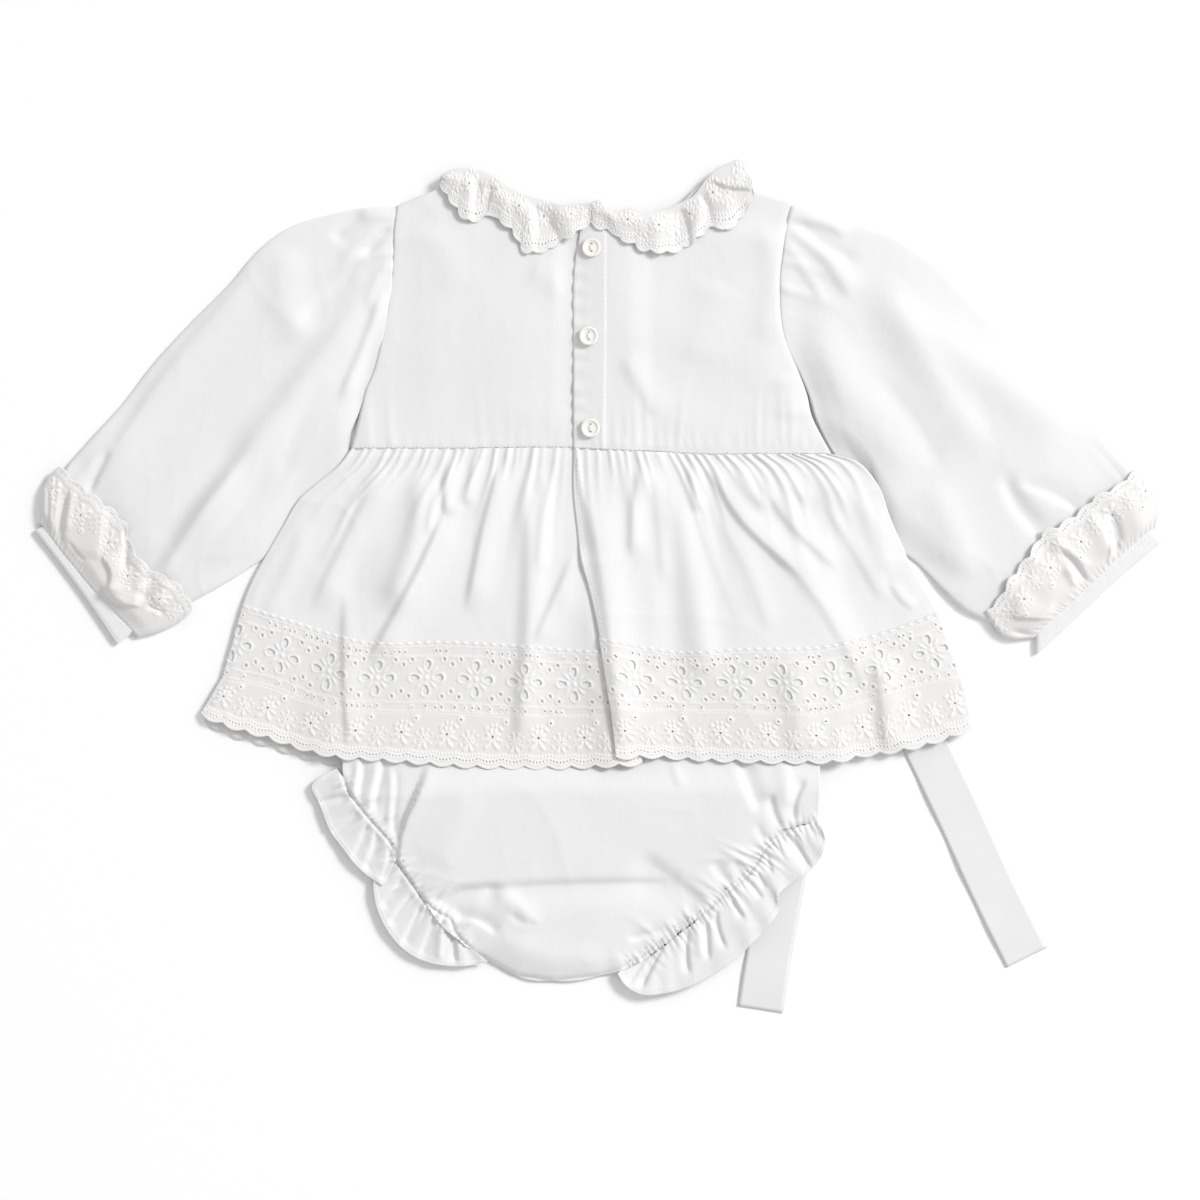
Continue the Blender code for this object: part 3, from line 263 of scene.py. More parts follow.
BLOOMERS_SIDE_RIGHT = (
    (100.5, -2.5), (117, -34.5), (121.5, -67.5), (121, -97.5), (120.3, -118), (119, -127.6),
    *(row[:2] for row in LEG_FRILL_RIGHT[2:13]), (34.7, -192.4),
)
LEG_SEAM_LEFT = tuple(row[:2] for row in LEG_FRILL_HIP + LEG_FRILL_SEAT)
LEG_SEAM_RIGHT = tuple(row[:2] for row in LEG_FRILL_RIGHT)
LEG_SEAMS = {"left": (LEG_SEAM_LEFT, 51), "right": (LEG_SEAM_RIGHT, 57)}  # with pleats' seeds

# Ribbon tails, each row a point of the middle line: x, y
RIBBON_LEFT = (
    (104, 50.5), (107, 0), (108, -50), (108.5, -100), (101.5, -156), (93.5, -200), (88.5, -232),
)
RIBBON_RIGHT = (
    (130.5, 50.5), (137, 10), (154, -35), (180, -88), (198, -125.5), (216, -165), (235, -203.5),
)
RIBBON_KNOT = (117, 59, 50, 15)  # middle x, y, length, width

# Where one layer climbs onto another, each a distance where it starts and where it ends
OVER_RIBBON = (44, 8)
OVER_KNOT = 18
OVER_FRONT_COLLAR = (96, 148)
OVER_FRONT_HEM = (-121, -106)
OVER_BLOOMERS = (30, 2)
OVER_BLOOMERS_WAIST = (72, -14)
UNDER_CENTRE_EDGE = (1, -15)
OVER_LEFT_PLACKET = (31, 15)
OVER_LEFT_SKIRT = (44, 28)

# Creases, each row a ridge of cloth, or a trough where its height is negative: start x, y,
# middle x, y, end x, y, height, width of the flank on the left and of the flank on the right
SKIRT_FOLDS = (
    (-114, 73, -127, 48, -158, -15, 2.2, 4, 10),
    (-95, 68, -101, 26, -116, -16, 2.8, 7, 8),
    (-80, 76, -84, 56, -84, 38, 2.2, 2, 6),
    (-81, 48, -99, 8, -128, -44, 3.0, 2.3, 12),
    (-52, 76, -62, 38, -73, -16, 2.4, 2.2, 9),
    (-67, 74, -70, 60, -74, 44, 1.4, 2, 4),
    (-39, 70, -37.8, 10, -44, -100, 2.6, 5, 9),
    (-9, 26, -25, -8, -36, -34, 1.8, 2.2, 10),
    (-6, 64, 3, 0, 15, -96, 2.8, 5, 12),
    (25, 72, 20, 48, 18, 14, 1.8, 3, 7),
    (36, 68, 46, 30, 60, -60, 2.6, 9, 9),
    (50, 72, 52, 56, 55, 40, 1.6, 3, 4),
    (56, 78, 75, 42, 114, 4, 2.2, 2.3, 10),
    (92, 26, 118, -2, 152, -64, 1.4, 4, 13),
    (84, 68, 101, 41, 134, 8, 1.5, 3.0, 8),
    (74, 72, 81, 56, 94, 42, 1.8, 4, 6),
    (101, 72, 105, 58, 118, 46, 1.2, 4, 6),
    (110, 62, 146, 42, 160, 0, 1.3, 9, 6),
    (104, -30, 108, -60, 112, -96, 2.0, 8, 12),
    (152, -34, 156, -60, 160, -92, 2.6, 5, 10),
)
SKIRT_CREASES = (
    (-139, 2, -139.5, -45, -137, -92, 1.3, 2.2, 7),
    (-160, 40, -170, 10, -186, -20, 0.8, 4, 6),
    (-88, 60, -92, 44, -94, 28, 0.8, 2, 4),
    (-30, 70, -31, 40, -33, 6, 0.9, 3, 4),
    (30, 66, 33, 40, 36, 0, 0.8, 3, 5),
    (66, 40, 82, 10, 96, -28, 0.7, 4, 6),
    (122, 50, 142, 18, 158, -10, 0.9, 3, 5),
    (160, 4, 166, -6, 174, -12, 0.8, 2, 4),
)
BODICE_FOLDS = (
    (-104, 200, -90, 190, -76, 160, 0.8, 9, 9),
    (-40, 176, -25, 168, -16, 160, 0.9, 7, 7),
    (12, 130, 22, 112, 34, 92, 1.2, 4, 9),
    (52, 120, 56, 140, 66, 170, 1.0, 12, 14),
    (88, 206, 96, 180, 92, 130, 1.4, 8, 10),
    (100, 120, 104, 104, 106, 90, 1.2, 7, 8),
)
SLEEVE_FOLDS_LEFT = (
    (-115, 176, -166, 108, -236, 18, 4.0, 8, 13),
    (-114, 198, -121, 193, -131, 182, -2.4, 2.4, 3.4),
    (-128, 206, -136, 201, -146, 190, -2.0, 4, 5),
    (-115, 192, -136, 172, -168, 144, -1.5, 3, 6),
    (-117, 168, -127, 138, -143, 100, 2.2, 2.6, 4),
    (-172, 190, -173, 160, -162, 130, 2.0, 9, 12),
    (-180, 184, -238, 116, -276, 58, 2.0, 3.4, 12),
    (-113, 207, -128, 203, -146, 192, 0.9, 2.4, 3),
    (-113, 200, -128, 192, -144, 178, 1.1, 2.2, 3),
    (-113, 192, -126, 182, -138, 166, 0.9, 2, 3),
    (-113, 182, -122, 170, -128, 152, 0.8, 2, 3),
    (-196, 66, -222, 38, -250, 14, 1.2, 6, 8),
    (-268, 76, -274.7, 64.6, -281, 50, -2.2, 3, 1.4),
    (-188, 88, -222, 46, -252, 4, -1.8, 7, 4),
    (-192, 74, -221, 36, -243, 2, 1.4, 3, 4),
    (-176, 72, -206, 32, -228, 4, -0.8, 4, 4),
    (-150, 118, -166, 88, -176, 58, -0.8, 5, 5),
)
SLEEVE_FOLDS_RIGHT = (
    (103, 196, 120, 186, 140, 158, 1.9, 3.5, 8),
    (150, 176, 176, 128, 214, 70, 2.2, 12, 9),
    (107, 205, 121, 202, 137, 193, 1.4, 2.4, 4),
    (104, 186, 114, 172, 124, 156, 0.9, 2.2, 3),
    (150, 160, 208, 120, 268, 80, 2.4, 14, 12),
    (104, 204, 118, 192, 142, 176, -1.8, 3, 5),
    (112, 150, 150, 90, 176, 60, 1.6, 10, 12),
    (226.9, 64.6, 236.8, 48.1, 247.8, 37.1, 1.2, 5, 9),
    (180, 60, 196, 26, 204, 2, 1.4, 9, 9),
    (228, 58, 246, 51.5, 266, 41, -1.6, 1.4, 7),
    (221, 66, 229, 46, 246, 26, -1.8, 4, 9),
    (150, 118, 172, 92, 190, 60, -0.7, 6, 5),
)
BLOOMERS_FOLDS = (
    (-98, -180, -80, -168.5, -50, -165, -3.2, 2.8, 8),
    (-70, -166.5, -14, -163.5, 46, -163, -2.3, 3, 9),
    (-62, -168, -46, -174, -34, -188, 1.8, 6, 5),
    (18, -146, 38, -160, 59, -178, -2.2, 14, 5),
    (62, -149, 66, -156, 71, -164, -1.5, 3, 4),
    (72, -150, 77, -155, 80, -160, -0.9, 2, 3),
    (-84, -181, -70, -181, -54, -190, -1.8, 2.2, 5),
    (-50, -178, -42, -184, -34, -184, -0.9, 2, 3),
    (14, -193.5, 27, -191, 40, -189, -1.6, 3, 2),
    (-60, -190, -30, -203, 6, -204, 1.2, 8, 8),
    (-132.3, -88, -133, -102, -135.5, -117, 1.8, 2.6, 2.2),
    (-129.3, -90, -130.3, -104, -132.5, -118, -1.2, 1.6, 1.6),
    (-120.5, -90, -124, -106, -128, -122, 2.0, 3.4, 2.4),
    (-116.5, -90, -121, -108, -124, -125, -1.8, 1.5, 2.0),
    (-114.5, -98, -113.4, -110, -116, -132, 1.8, 2.6, 1.4),
    (-111.6, -98, -112.5, -116, -112.8, -140, -1.7, 1.5, 1.8),
    (77, -90, 81, -105, 89, -124, -2.4, 3, 6),
    (100, -92, 102, -106, 104, -122, 1.3, 5, 4),
    (113.5, -104, 107.5, -117, 106.8, -131, -2.2, 4, 1.3),
    (94, -112, 96.2, -123, 101, -133, -1.9, 3.4, 1.3),
    (86.5, -128, 89, -136, 92, -143, -1.0, 2, 1.3),
    (40, -96, 42, -102, 45, -110, 0.9, 1.6, 2.4),
    (-70, -108, -78, -128, -90, -156, 0.8, 10, 9),
)
# The puffed seat hangs over the cloth beside the left leg along this line: x, y
SEAT_OVERHANG = (
    (-92, -86), (-94.3, -96.5), (-96.5, -104), (-101.8, -117), (-106.2, -126), (-109.3, -136),
    (-110.5, -151),
)
COLLAR_FOLDS = (
    (-80, 232, -83, 216, -80, 200, 1.2, 5, 8),
    (-71, 230, -71, 214, -69, 196, 1.8, 6, 3),
    (-66, 226, -67.5, 209, -67.5, 190, -2.6, 2.4, 2.4),
    (-58, 222, -61.5, 212.4, -64, 204, -2.0, 3, 1.4),
    (-54, 221, -53, 207.6, -48, 184, 1.7, 5, 7),
    (-42.6, 220, -38.5, 199, -36, 172, 1.8, 7, 3),
    (-35, 212, -32.4, 199, -26.5, 184, -2.8, 1.3, 7),
    (-24, 214, -18, 202, -12, 186, 1.4, 6, 5),
    (-9, 216, -6.5, 205, -8.5, 186, -1.0, 3, 3),
    (2.5, 214, 9, 200, 14, 182, 1.1, 4, 7),
    (17.9, 213, 19, 199, 17, 178, 0.9, 6, 6),
    (30.5, 213, 31.6, 196.6, 34, 170, 1.9, 7, 8),
    (41, 211, 41, 200, 42, 184, -0.8, 1.6, 1.6),
    (43.2, 212, 46.6, 201, 48.7, 184, -2.8, 4, 2),
    (53.6, 215, 53.6, 202, 50.9, 182, 1.6, 4, 3),
    (53.6, 218, 58.6, 210, 60, 198, -1.6, 1.4, 2.4),
    (57, 226, 68, 221, 86, 218.6, 2.0, 0.9, 13),
    (70, 216, 69, 208, 66, 192, 1.1, 6, 6),
    (76, 214, 78, 204, 76, 188, -0.9, 3, 3),
)
CUFF_FRILL_FOLDS = (
    (-291, 54, -295.6, 37, -296.4, 20, -2.4, 2.2, 2.4),
    (-303.8, 58, -304.4, 42, -304.6, 26, 0.8, 1.1, 1.3),
    (-300.2, 62, -300.8, 42, -301.2, 26, 0.9, 1.1, 1.3),
    (-296.6, 62, -297.6, 48, -299, 34, 0.8, 1.1, 1.2),
    (-288, 56, -290.6, 46, -292.4, 30, 1.3, 1.5, 2.2),
    (-272, 46, -274.5, 29, -277, 14, 1.9, 10, 3),
    (-292, 26, -287, 19, -282, 14, -0.8, 1.2, 1.2),
    (-272.8, 19, -267.3, 8, -269.4, -4, 2.4, 1.2, 6),
    (-259.8, 34, -259.8, 20, -260.8, 8, -2.4, 1.8, 2.4),
    (-252, 20, -252, 8, -253, -4, 1.3, 4, 4),
    (-273.5, 2.5, -266, -6.5, -250, -10, 2.6, 1.2, 8),
    (-249.4, -9, -244, -12, -238, -14.5, -1.2, 1.4, 1.6),
    (-246, 9, -248, 0, -251, -8, -1.1, 3, 3),
    (-236, 4, -240, -4, -244, -9, 1.2, 4, 4),
    (279.5, 44, 283.5, 30, 285.4, 16, -2.6, 3, 3),
    (281, 26, 280.8, 20, 279.4, 12, 1.3, 1.1, 1.1),
    (285.4, 27, 286.8, 20, 288, 14, 1.3, 1.1, 1.1),
    (290, 56, 294, 40, 300, 24, 1.2, 5, 6),
    (268, 44, 275, 30, 281, 16, 1.4, 6, 3),
    (250.5, 22, 259.9, 14.5, 269, 0, -2.2, 3, 1.4),
    (246, 30, 256, 21, 270, 10, 1.2, 5, 3),
    (255, 12, 260, 6, 263, 0, 1.6, 3, 1.6),
    (259, 8, 263, 2, 268, -4, -1.0, 1.4, 1.2),
    (224, -15.5, 238, -16.5, 252, -17.5, 2.2, 1.2, 8),
    (230, 6, 240, 0, 252, -10, 0.9, 6, 6),
    (224, -24, 238, -27, 250, -33, -1.4, 1.2, 2),
)
LEG_FRILL_FOLDS = (
    (103, -131, 110, -143.4, 117, -156, -2.0, 4, 1.2),
    (91, -141, 92.9, -150, 95, -158, -1.5, 3, 1.2),
    (83.5, -151, 87.6, -158, 92, -166, -1.2, 2.5, 1.2),
    (79, -157, 85, -164.6, 90, -172, -1.3, 2.5, 1.2),
    (71.5, -163, 73.7, -171.2, 80, -183, -1.7, 3, 1.2),
    (63.8, -171, 65.2, -187, 70, -200, -1.6, 3, 1.2),
    (58.5, -176, 59.7, -193.7, 60, -206, -1.7, 2.6, 1.3),
    (49.8, -182, 47.9, -196.3, 49.2, -214, -1.9, 3, 1.3),
    (54, -181, 54.5, -192, 56, -204, 1.0, 3, 2),
    (38, -189, 32, -201.6, 22, -222, -2.3, 4, 1.3),
    (28, -199, 22, -209, 15, -219, -1.2, 3, 1.4),
    (-137, -114, -146, -116, -156, -118, -1.3, 1.2, 3),
    (-131, -121, -140, -129, -150, -136, -1.6, 1.3, 4),
    (-126, -127, -131.5, -141.6, -137, -152, -1.3, 1.4, 4),
    (-121.8, -131, -123.5, -141.6, -129.5, -157, -1.9, 1.3, 4),
    (-114.5, -140, -116, -152, -120, -162, -1.2, 1.4, 3),
    (-107, -158, -114, -168, -121, -176, -1.6, 1.3, 4),
    (-101.5, -166, -109, -176, -116, -186, -1.5, 1.3, 4),
    (-96, -172, -103, -186, -109, -198, -1.8, 1.3, 4),
    (-89, -178, -94, -192, -99, -204, -1.2, 1.3, 3),
    (-86, -180, -87, -192, -88, -206, 1.3, 2.6, 2),
    (-81.4, -184, -80, -195, -79, -208, -1.9, 2.6, 1.3),
)

# Sprigs beside a daisy, each a stitched pad on both sides of it: how far out and down from its
# middle, half length, half width, and how far it leans from upright in radians
TALL_DAISY_SPRIGS = (
    (5.0, 2.0, 0.8, 0.6, np.pi / 2), (4.2, -4.2, 1.4, 0.7, 0.9), (1.2, -5.8, 1.0, 0.6, -0.4),
)
FOOT_LEAVES = ((2.8, 5.0, 1.9, 0.9, 0.95),)
SMALL_DAISY_SPRIGS = (
    (4.3, -2.6, 0.6, 0.6, np.pi / 2), (1.7, 3.9, 1.4, 0.65, 0.8), (4.4, 2.3, 0.7, 0.6, np.pi / 2),
    (1.6, -4.3, 1.1, 0.55, -0.7),
)
DEEP_LACE = 25.0  # edging deeper than this has foot leaves and a row of eyelets at its seam


# Shapes of the cloth


def curve(table, at):
    """Points of the smooth curve through a table's points, at fractions of its length: between
    two points, the cubic that has each point's slope, taken from its neighbours."""
    points = np.array(table, float)
    steps = np.linalg.norm(np.diff(points, axis=0), axis=1)
    place = np.concatenate([[0], np.cumsum(steps)]) / steps.sum()
    slope = np.gradient(points, place, axis=0)
    at = np.asarray(at, float)
    i = np.clip(np.searchsorted(place, at, side="right") - 1, 0, len(place) - 2)
    span = (place[i + 1] - place[i])[..., None]
    f = (at - place[i])[..., None] / span
    return (
        points[i] * (1 + 2 * f) * (1 - f) ** 2
        + points[i + 1] * f**2 * (3 - 2 * f)
        + span * (slope[i] * f * (1 - f) ** 2 - slope[i + 1] * f**2 * (1 - f))
    )


def length(table):
    """The length of a table's line in mm."""
    return float(np.linalg.norm(np.diff(np.array(table, float), axis=0), axis=1).sum())


def outward(table, at):
    """Unit vectors to the right of a table's curve: its direction, turned a quarter."""
    step = 1e-3
    along = curve(table, np.clip(at + step, 0, 1)) - curve(table, np.clip(at - step, 0, 1))
    along /= np.linalg.norm(along, axis=-1)[..., None]
    return np.stack([along[..., 1], -along[..., 0]], axis=-1)


def moved(table, x=0.0, y=0.0):
    """A table's points, moved."""
    return tuple((row[0] + x, row[1] + y) for row in table)


def lengthened(table, by):
    """A table's points with its two ends run on by a length."""
    points = np.array(table, float)
    for end, inner in ((0, 1), (-1, -2)):
        run = points[end] - points[inner]
        points[end] += by * run / np.linalg.norm(run)
    return tuple(map(tuple, points))


def strip(top, foot):
    """The four edges of a piece with straight ends: top, foot, left, right."""
    return top, foot, (top[0], foot[0]), (top[-1], foot[-1])


def joined(top, foot, left, right):
    """The four edges of a piece, with the ends of its sides moved onto its top and foot."""
    return top, foot, (top[0], *left[1:-1], foot[0]), (top[-1], *right[1:-1], foot[-1])


def between(edges, u, v):
    """The patch between four edges: top and foot blended down, plus left and right blended
    across, less the blend of the four corners."""
    top, foot, left, right = edges
    t, b, l, r = curve(top, u), curve(foot, u), curve(left, v), curve(right, v)
    u, v = u[..., None], v[..., None]
    (tl, tr), (bl, br) = curve(top, (0, 1)), curve(foot, (0, 1))
    corners = (1 - u) * ((1 - v) * tl + v * bl) + u * ((1 - v) * tr + v * br)
    return (1 - v) * t + v * b + (1 - u) * l + u * r - corners


def ease(low, high, value):
    """0 at low and 1 at high, with level ends: 3 f squared less 2 f cubed."""
    f = np.clip((value - low) / (high - low), 0, 1)
    return f * f * (3 - 2 * f)


def distance(table, x, y):
    """How far each point is from a line through a table's points, on which side, and how far
    along it is from 0 to 1: the nearest of the line's straight runs gives all three."""
    points = np.array(table, float)
    best = np.full(np.shape(x), np.inf)
    side, place = np.zeros(np.shape(x)), np.zeros(np.shape(x))
    runs = np.linalg.norm(np.diff(points, axis=0), axis=1)
    done = 0.0
    for (ax, ay), (bx, by), run in zip(points, points[1:], runs):
        dx, dy = (bx - ax) / run, (by - ay) / run
        t = np.clip((x - ax) * dx + (y - ay) * dy, 0, run)
        gap = np.hypot(x - ax - t * dx, y - ay - t * dy)
        nearer = gap < best
        best = np.where(nearer, gap, best)
        side = np.where(nearer, dx * (y - ay) - dy * (x - ax), side)
        place = np.where(nearer, (done + t) / runs.sum(), place)
        done += run
    return best, side, place


def folds(table, x, y):
    """The height of a table's ridges: a bell across each, exp(-(gap/width)^2), with a width for
    each flank, dying at both ends."""
    z = np.zeros(np.shape(x))
    for ax, ay, bx, by, cx, cy, height, left, right in table:
        line = curve(((ax, ay), (bx, by), (cx, cy)), np.linspace(0, 1, 13))
        gap, side, place = distance(line, x, y)
        on_left = side < 0 if ay > cy else side > 0
        width = np.where(on_left, left, right)
        z += height * np.exp(-((gap / width) ** 2)) * ease(0, 0.25, place) * ease(1, 0.8, place)
    return z


def hollows(x, y, size, seed):
    """Smooth rises and hollows about size mm across, from -1 to 1: random heights on a square
    lattice, eased between its points."""
    heights = np.random.default_rng(seed).uniform(-1, 1, (61, 61))
    a, b = x / size, y / size
    i, j = np.floor(a).astype(int), np.floor(b).astype(int)
    f, g = ease(0, 1, a - i), ease(0, 1, b - j)
    corner = [[heights[(i + m) % 61, (j + n) % 61] for n in (0, 1)] for m in (0, 1)]
    low, high = (c[0] * (1 - g) + c[1] * g for c in corner)
    return low * (1 - f) + high * f


def crumple(x, y, seed):
    """Faint creases of worn cotton, from 0 to 1: thin ridges where a field of hollows crosses
    zero, broken up by a second field."""
    lines = (1 - np.abs(hollows(x + 0.4 * y, y, 34, seed))) ** 7
    finer = (1 - np.abs(hollows(x, y - 0.5 * x, 15, seed + 1))) ** 6
    return lines * ease(-0.3, 0.6, hollows(x, y, 50, seed + 2)) + 0.4 * finer


def sheet_crumple(x, y, seed):
    """Crumple plus the slow waviness of cloth that was smoothed by hand."""
    rise = bpy.context.scene.outfit_cloth.crumple_rise / MM
    return rise * (crumple(x, y, seed) + 0.8 * hollows(x, y, 26, seed + 3))


# Heights of what lies under each piece


def over_ribbons(x, y):
    """What lies on the ribbon tails is raised by them, falling level beside them."""
    knot_x, knot_y = RIBBON_KNOT[:2]
    knot = ((knot_x - OVER_KNOT, knot_y), (knot_x + OVER_KNOT, knot_y))
    gap = np.minimum(distance(RIBBON_LEFT, x, y)[0], distance(RIBBON_RIGHT, x, y)[0])
    gap = np.minimum(gap, distance(knot, x, y)[0]) - RIBBON_WIDTH / 2
    return LAYER * ease(*OVER_RIBBON, gap)


def front_base(x, y):
    """The underside of the front: on the table, over the ribbons and over the front collar."""
    return np.maximum(over_ribbons(x, y), LAYER * ease(*OVER_FRONT_COLLAR, y))


def back_base(x, y):
    """The underside of the back where it lies on the front alone."""
    return front_base(x, y) + LAYER


def over_bloomers(x, y):
    """How much the back of the skirt is raised by the bloomers between it and the front."""
    heights = (-220, -97.5, -67.5, -34.5, -2.5)
    low = np.interp(y, heights, (-146, -145, -141, -128, -108))
    high = np.interp(y, heights, (126, 126, 126, 122, 108))
    from_left, from_right = ease(*OVER_BLOOMERS, low - x), ease(*OVER_BLOOMERS, x - high)
    return 2 * LAYER * from_left * from_right * ease(*OVER_BLOOMERS_WAIST, y)


def centre_edge(y):
    """Where the right back's free edge runs, over the left back."""
    return np.interp(y, (-93, -28, 1.5, 34, 52, 210), (9, -0.5, -6.5, -12.5, -14.5, -14.5))


# Meshes


def grid(across, down):
    """Even parameters u and v for a sheet with so many faces across and down."""
    return np.meshgrid(np.linspace(0, 1, across + 1), np.linspace(0, 1, down + 1))


def faces_of(field):
    """The four corners of each face of a grid, counter-clockwise from above."""
    rows, columns = field.shape[0] - 1, field.shape[1] - 1
    corners = ((0, 0), (1, 0), (1, 1), (0, 1))
    around = [field[i:i + rows, j:j + columns] for i, j in corners]
    return np.stack(around, axis=2).reshape(rows * columns, 4, *field.shape[2:])


def add_sheet(name, points, flat, keep=None, stitch=None, closed=False):
    """An object from a grid of points in mm. flat is each point's place on the uncut cloth, for
    its weave. A closed grid joins its last column to its first, and flat has one more column."""
    rows, columns = points.shape[:2]
    number = np.arange(rows * columns).reshape(rows, columns)
    if closed:
        number = np.concatenate([number, number[:, :1]], axis=1)
    faces, weave = faces_of(number), faces_of(flat)
    if keep is not None:
        faces, weave = faces[keep.ravel()], weave[keep.ravel()]
    used, faces = np.unique(faces, return_inverse=True)
    mesh = bpy.data.meshes.new(name)
    mesh.from_pydata(points.reshape(-1, 3)[used] * MM, [], faces.reshape(-1, 4))
    layer = mesh.uv_layers.new(name="cloth")
    layer.uv.foreach_set("vector", (weave * MM).astype(np.float32).ravel())
    if stitch is not None:
        marks = mesh.attributes.new("stitch", "FLOAT", "POINT")
        marks.data.foreach_set("value", stitch.ravel()[used].astype(np.float32))
    mesh.shade_smooth()
    piece = bpy.data.objects.new(f"{name}_cloth", mesh)
    bpy.context.scene.collection.objects.link(piece)
    return piece


def finish_sheet(piece, cloth, cut, thickness=None):
    """Gives a sheet its thickness, downwards from its face, and its material, hangs it from the
    root body and hides its part from model.glb. cut, the flat size in mm that it is cut to, is not
    used."""
    sizes = bpy.context.scene.outfit_cloth
    wall = piece.modifiers.new("thickness", "SOLIDIFY")
    usual = sizes.lace_thickness if cloth == "eyelet_lace" else sizes.lawn_thickness
    wall.thickness = thickness or usual
    wall.offset = -1
    piece.data.materials.append(material_of(cloth))
    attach(piece, "root")
    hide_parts(piece.name.removesuffix("_cloth"))


def add_panel(name, edges, counts, top, seed, cut, uneven=None):
    """A lawn panel between four edges, with its face at the height that top gives, and crumpled
    if it has a seed. uneven sets some rows or columns closer together."""
    u, v = grid(*counts)
    if uneven is not None:
        u, v = uneven(u, v)
    plan = between(edges, u, v)
    x, y = plan[..., 0], plan[..., 1]
    z = top(x, y, u, v)
    if seed is not None:
        z = z + sheet_crumple(x, y, seed)
    finish_sheet(add_sheet(name, np.dstack([plan, z]), plan), "cotton_lawn", cut)


# Lace


def oval(s, t, row):
    """0 at the middle of an oval and 1 on its rim: the distances along and across it, each over
    its own half. A taper makes its outer end the wider one."""
    middle_s, middle_t, half_long, half_wide, turn, taper = row[:6]
    ds, dt = s - middle_s, t - middle_t
    along = (ds * np.cos(turn) + dt * np.sin(turn)) / half_long
    across = (dt * np.cos(turn) - ds * np.sin(turn)) / half_wide
    return np.hypot(along, across / (1 + taper * np.clip(along, -1, 1)))


def pierce(s, t, holes):
    """Cuts ovals out of a grid. A face whose middle is in a hole goes, and the corners it leaves
    behind move from the hole's middle onto its rim."""
    middle = [(f[:-1, :-1] + f[1:, :-1] + f[1:, 1:] + f[:-1, 1:]) / 4 for f in (s, t)]
    keep = np.ones(middle[0].shape, bool)
    for row in holes:
        gone = (oval(*middle, row) < 1) & keep
        keep &= ~gone
        padded = np.pad(gone, 1)
        around = [padded[i:i + s.shape[0], j:j + s.shape[1]] for i in (0, 1) for j in (0, 1)]
        rim = np.any(around, axis=0)
        reach = np.maximum(oval(s[rim], t[rim], row), 0.2)
        s[rim] = row[0] + (s[rim] - row[0]) / reach
        t[rim] = row[1] + (t[rim] - row[1]) / reach
    return keep


def embroidery(s, t, rows):
    """How much of the raised stitching is at each point, from 0 to 1: a satin-stitched ring
    round each hole, or a whole pad where a row isn't a hole."""
    raised = np.zeros(s.shape)
    for row in rows:
        half = (row[2] + row[3]) / 2
        near = (np.abs(s - row[0]) < 3 * half + 2) & (np.abs(t - row[1]) < 3 * half + 2)
        out = (oval(s[near], t[near], row) - 1) * half
        ring = row[6]
        pad = np.exp(-(((out - ring / 2) / (0.6 * ring)) ** 2)) if ring else ease(0.4, -0.5, out)
        raised[near] = np.maximum(raised[near], pad)
    return raised


def flower(s, t, lace):
    """The holes of a four-petalled eyelet flower: teardrop holes above, below and beside its
    middle; the leaves between them and the knot in the middle come from leaves. Rows: s, t, half
    length, half width, turn, taper, ring width."""
    rows = []
    for quarter in range(4):
        turn = quarter * np.pi / 2
        reach = lace.petal_reach / MM
        place = (s + reach * np.cos(turn), t + reach * np.sin(turn))
        rows.append((*place, 2.5, 1.55, turn, 0.3, 1.1))
    return rows


def leaves(s, t, lace):
    """The stitched pads of a flower: a leaf on each diagonal and the knot."""
    reach = lace.petal_reach / MM * 0.84
    turns = np.pi / 4 + np.arange(4) * np.pi / 2
    pads = [(s + reach * np.cos(a), t + reach * np.sin(a), 2.3, 0.6, a, 0, 0) for a in turns]
    return pads + [(s, t, 1.2, 1.2, 0, 0, 0)]


def band_pattern(long, deep, first, repeat, lace):
    """The eyelet band: a flower each repeat, three small eyelets above and below between two
    flowers, ladders along both edges and a row of picots at the top. Gives holes and pads."""
    holes, pads = [], []
    middle = deep / 2
    small = lace.small_eyelet / MM
    for s in np.arange(first - repeat, long + repeat, repeat):
        holes += flower(s, middle, lace)
        pads += leaves(s, middle, lace)
        for side in (-1, 1):
            for ds, dt in ((-0.17, 10.2), (0.17, 10.2), (0.0, 7.4)):
                place = (s + (0.5 + ds) * repeat, middle + side * dt)
                holes.append((*place, small, small, 0, 0, 0.9))
    random = np.random.default_rng(5)
    for depth, half in ((LADDER_TOP, 1.0), (deep - LADDER_FOOT, 0.9)):
        for s in np.arange(1.6, long, LADDER_PITCH):
            if random.uniform() < 0.5:
                continue
            place = (s + random.uniform(-0.9, 0.9), depth + random.uniform(-0.4, 0.4))
            long_way, turn = half * random.uniform(0.5, 0.9), random.uniform(-0.3, 0.3)
            holes.append((*place, 0.45, long_way, turn, 0, 0.8))
    pads += [(s, 1.1, 1.5, 0.7, 0, 0, 0) for s in np.arange(2.5, long, 5.5)]
    return holes, pads


def ladder(s, t, reach):
    """The raised rails of the band's two ladders, each a pair, wandering a little."""
    raised = np.zeros(s.shape)
    for depth, wide in ((LADDER_TOP, 5.4), (reach - LADDER_FOOT, 5.0)):
        drift = 0.3 * hollows(s, 0 * s + depth, 5, 9)
        rails = np.exp(-(((np.abs(t - depth - drift) - wide / 2) / 0.5) ** 2))
        raised = np.maximum(raised, rails * (0.8 + 0.2 * np.cos(2 * np.pi * s / 1.1)))
    return 0.75 * raised


def daisy(s, t, reach, half):
    """Eight stitched petals round a place: pads reach mm out, each half mm long and half wide."""
    turns = np.arange(8) * np.pi / 4 + np.pi / 8
    return [
        (s + reach * np.cos(turn), t + reach * np.sin(turn), half, 0.6 * half, turn, 0, 0)
        for turn in turns
    ]


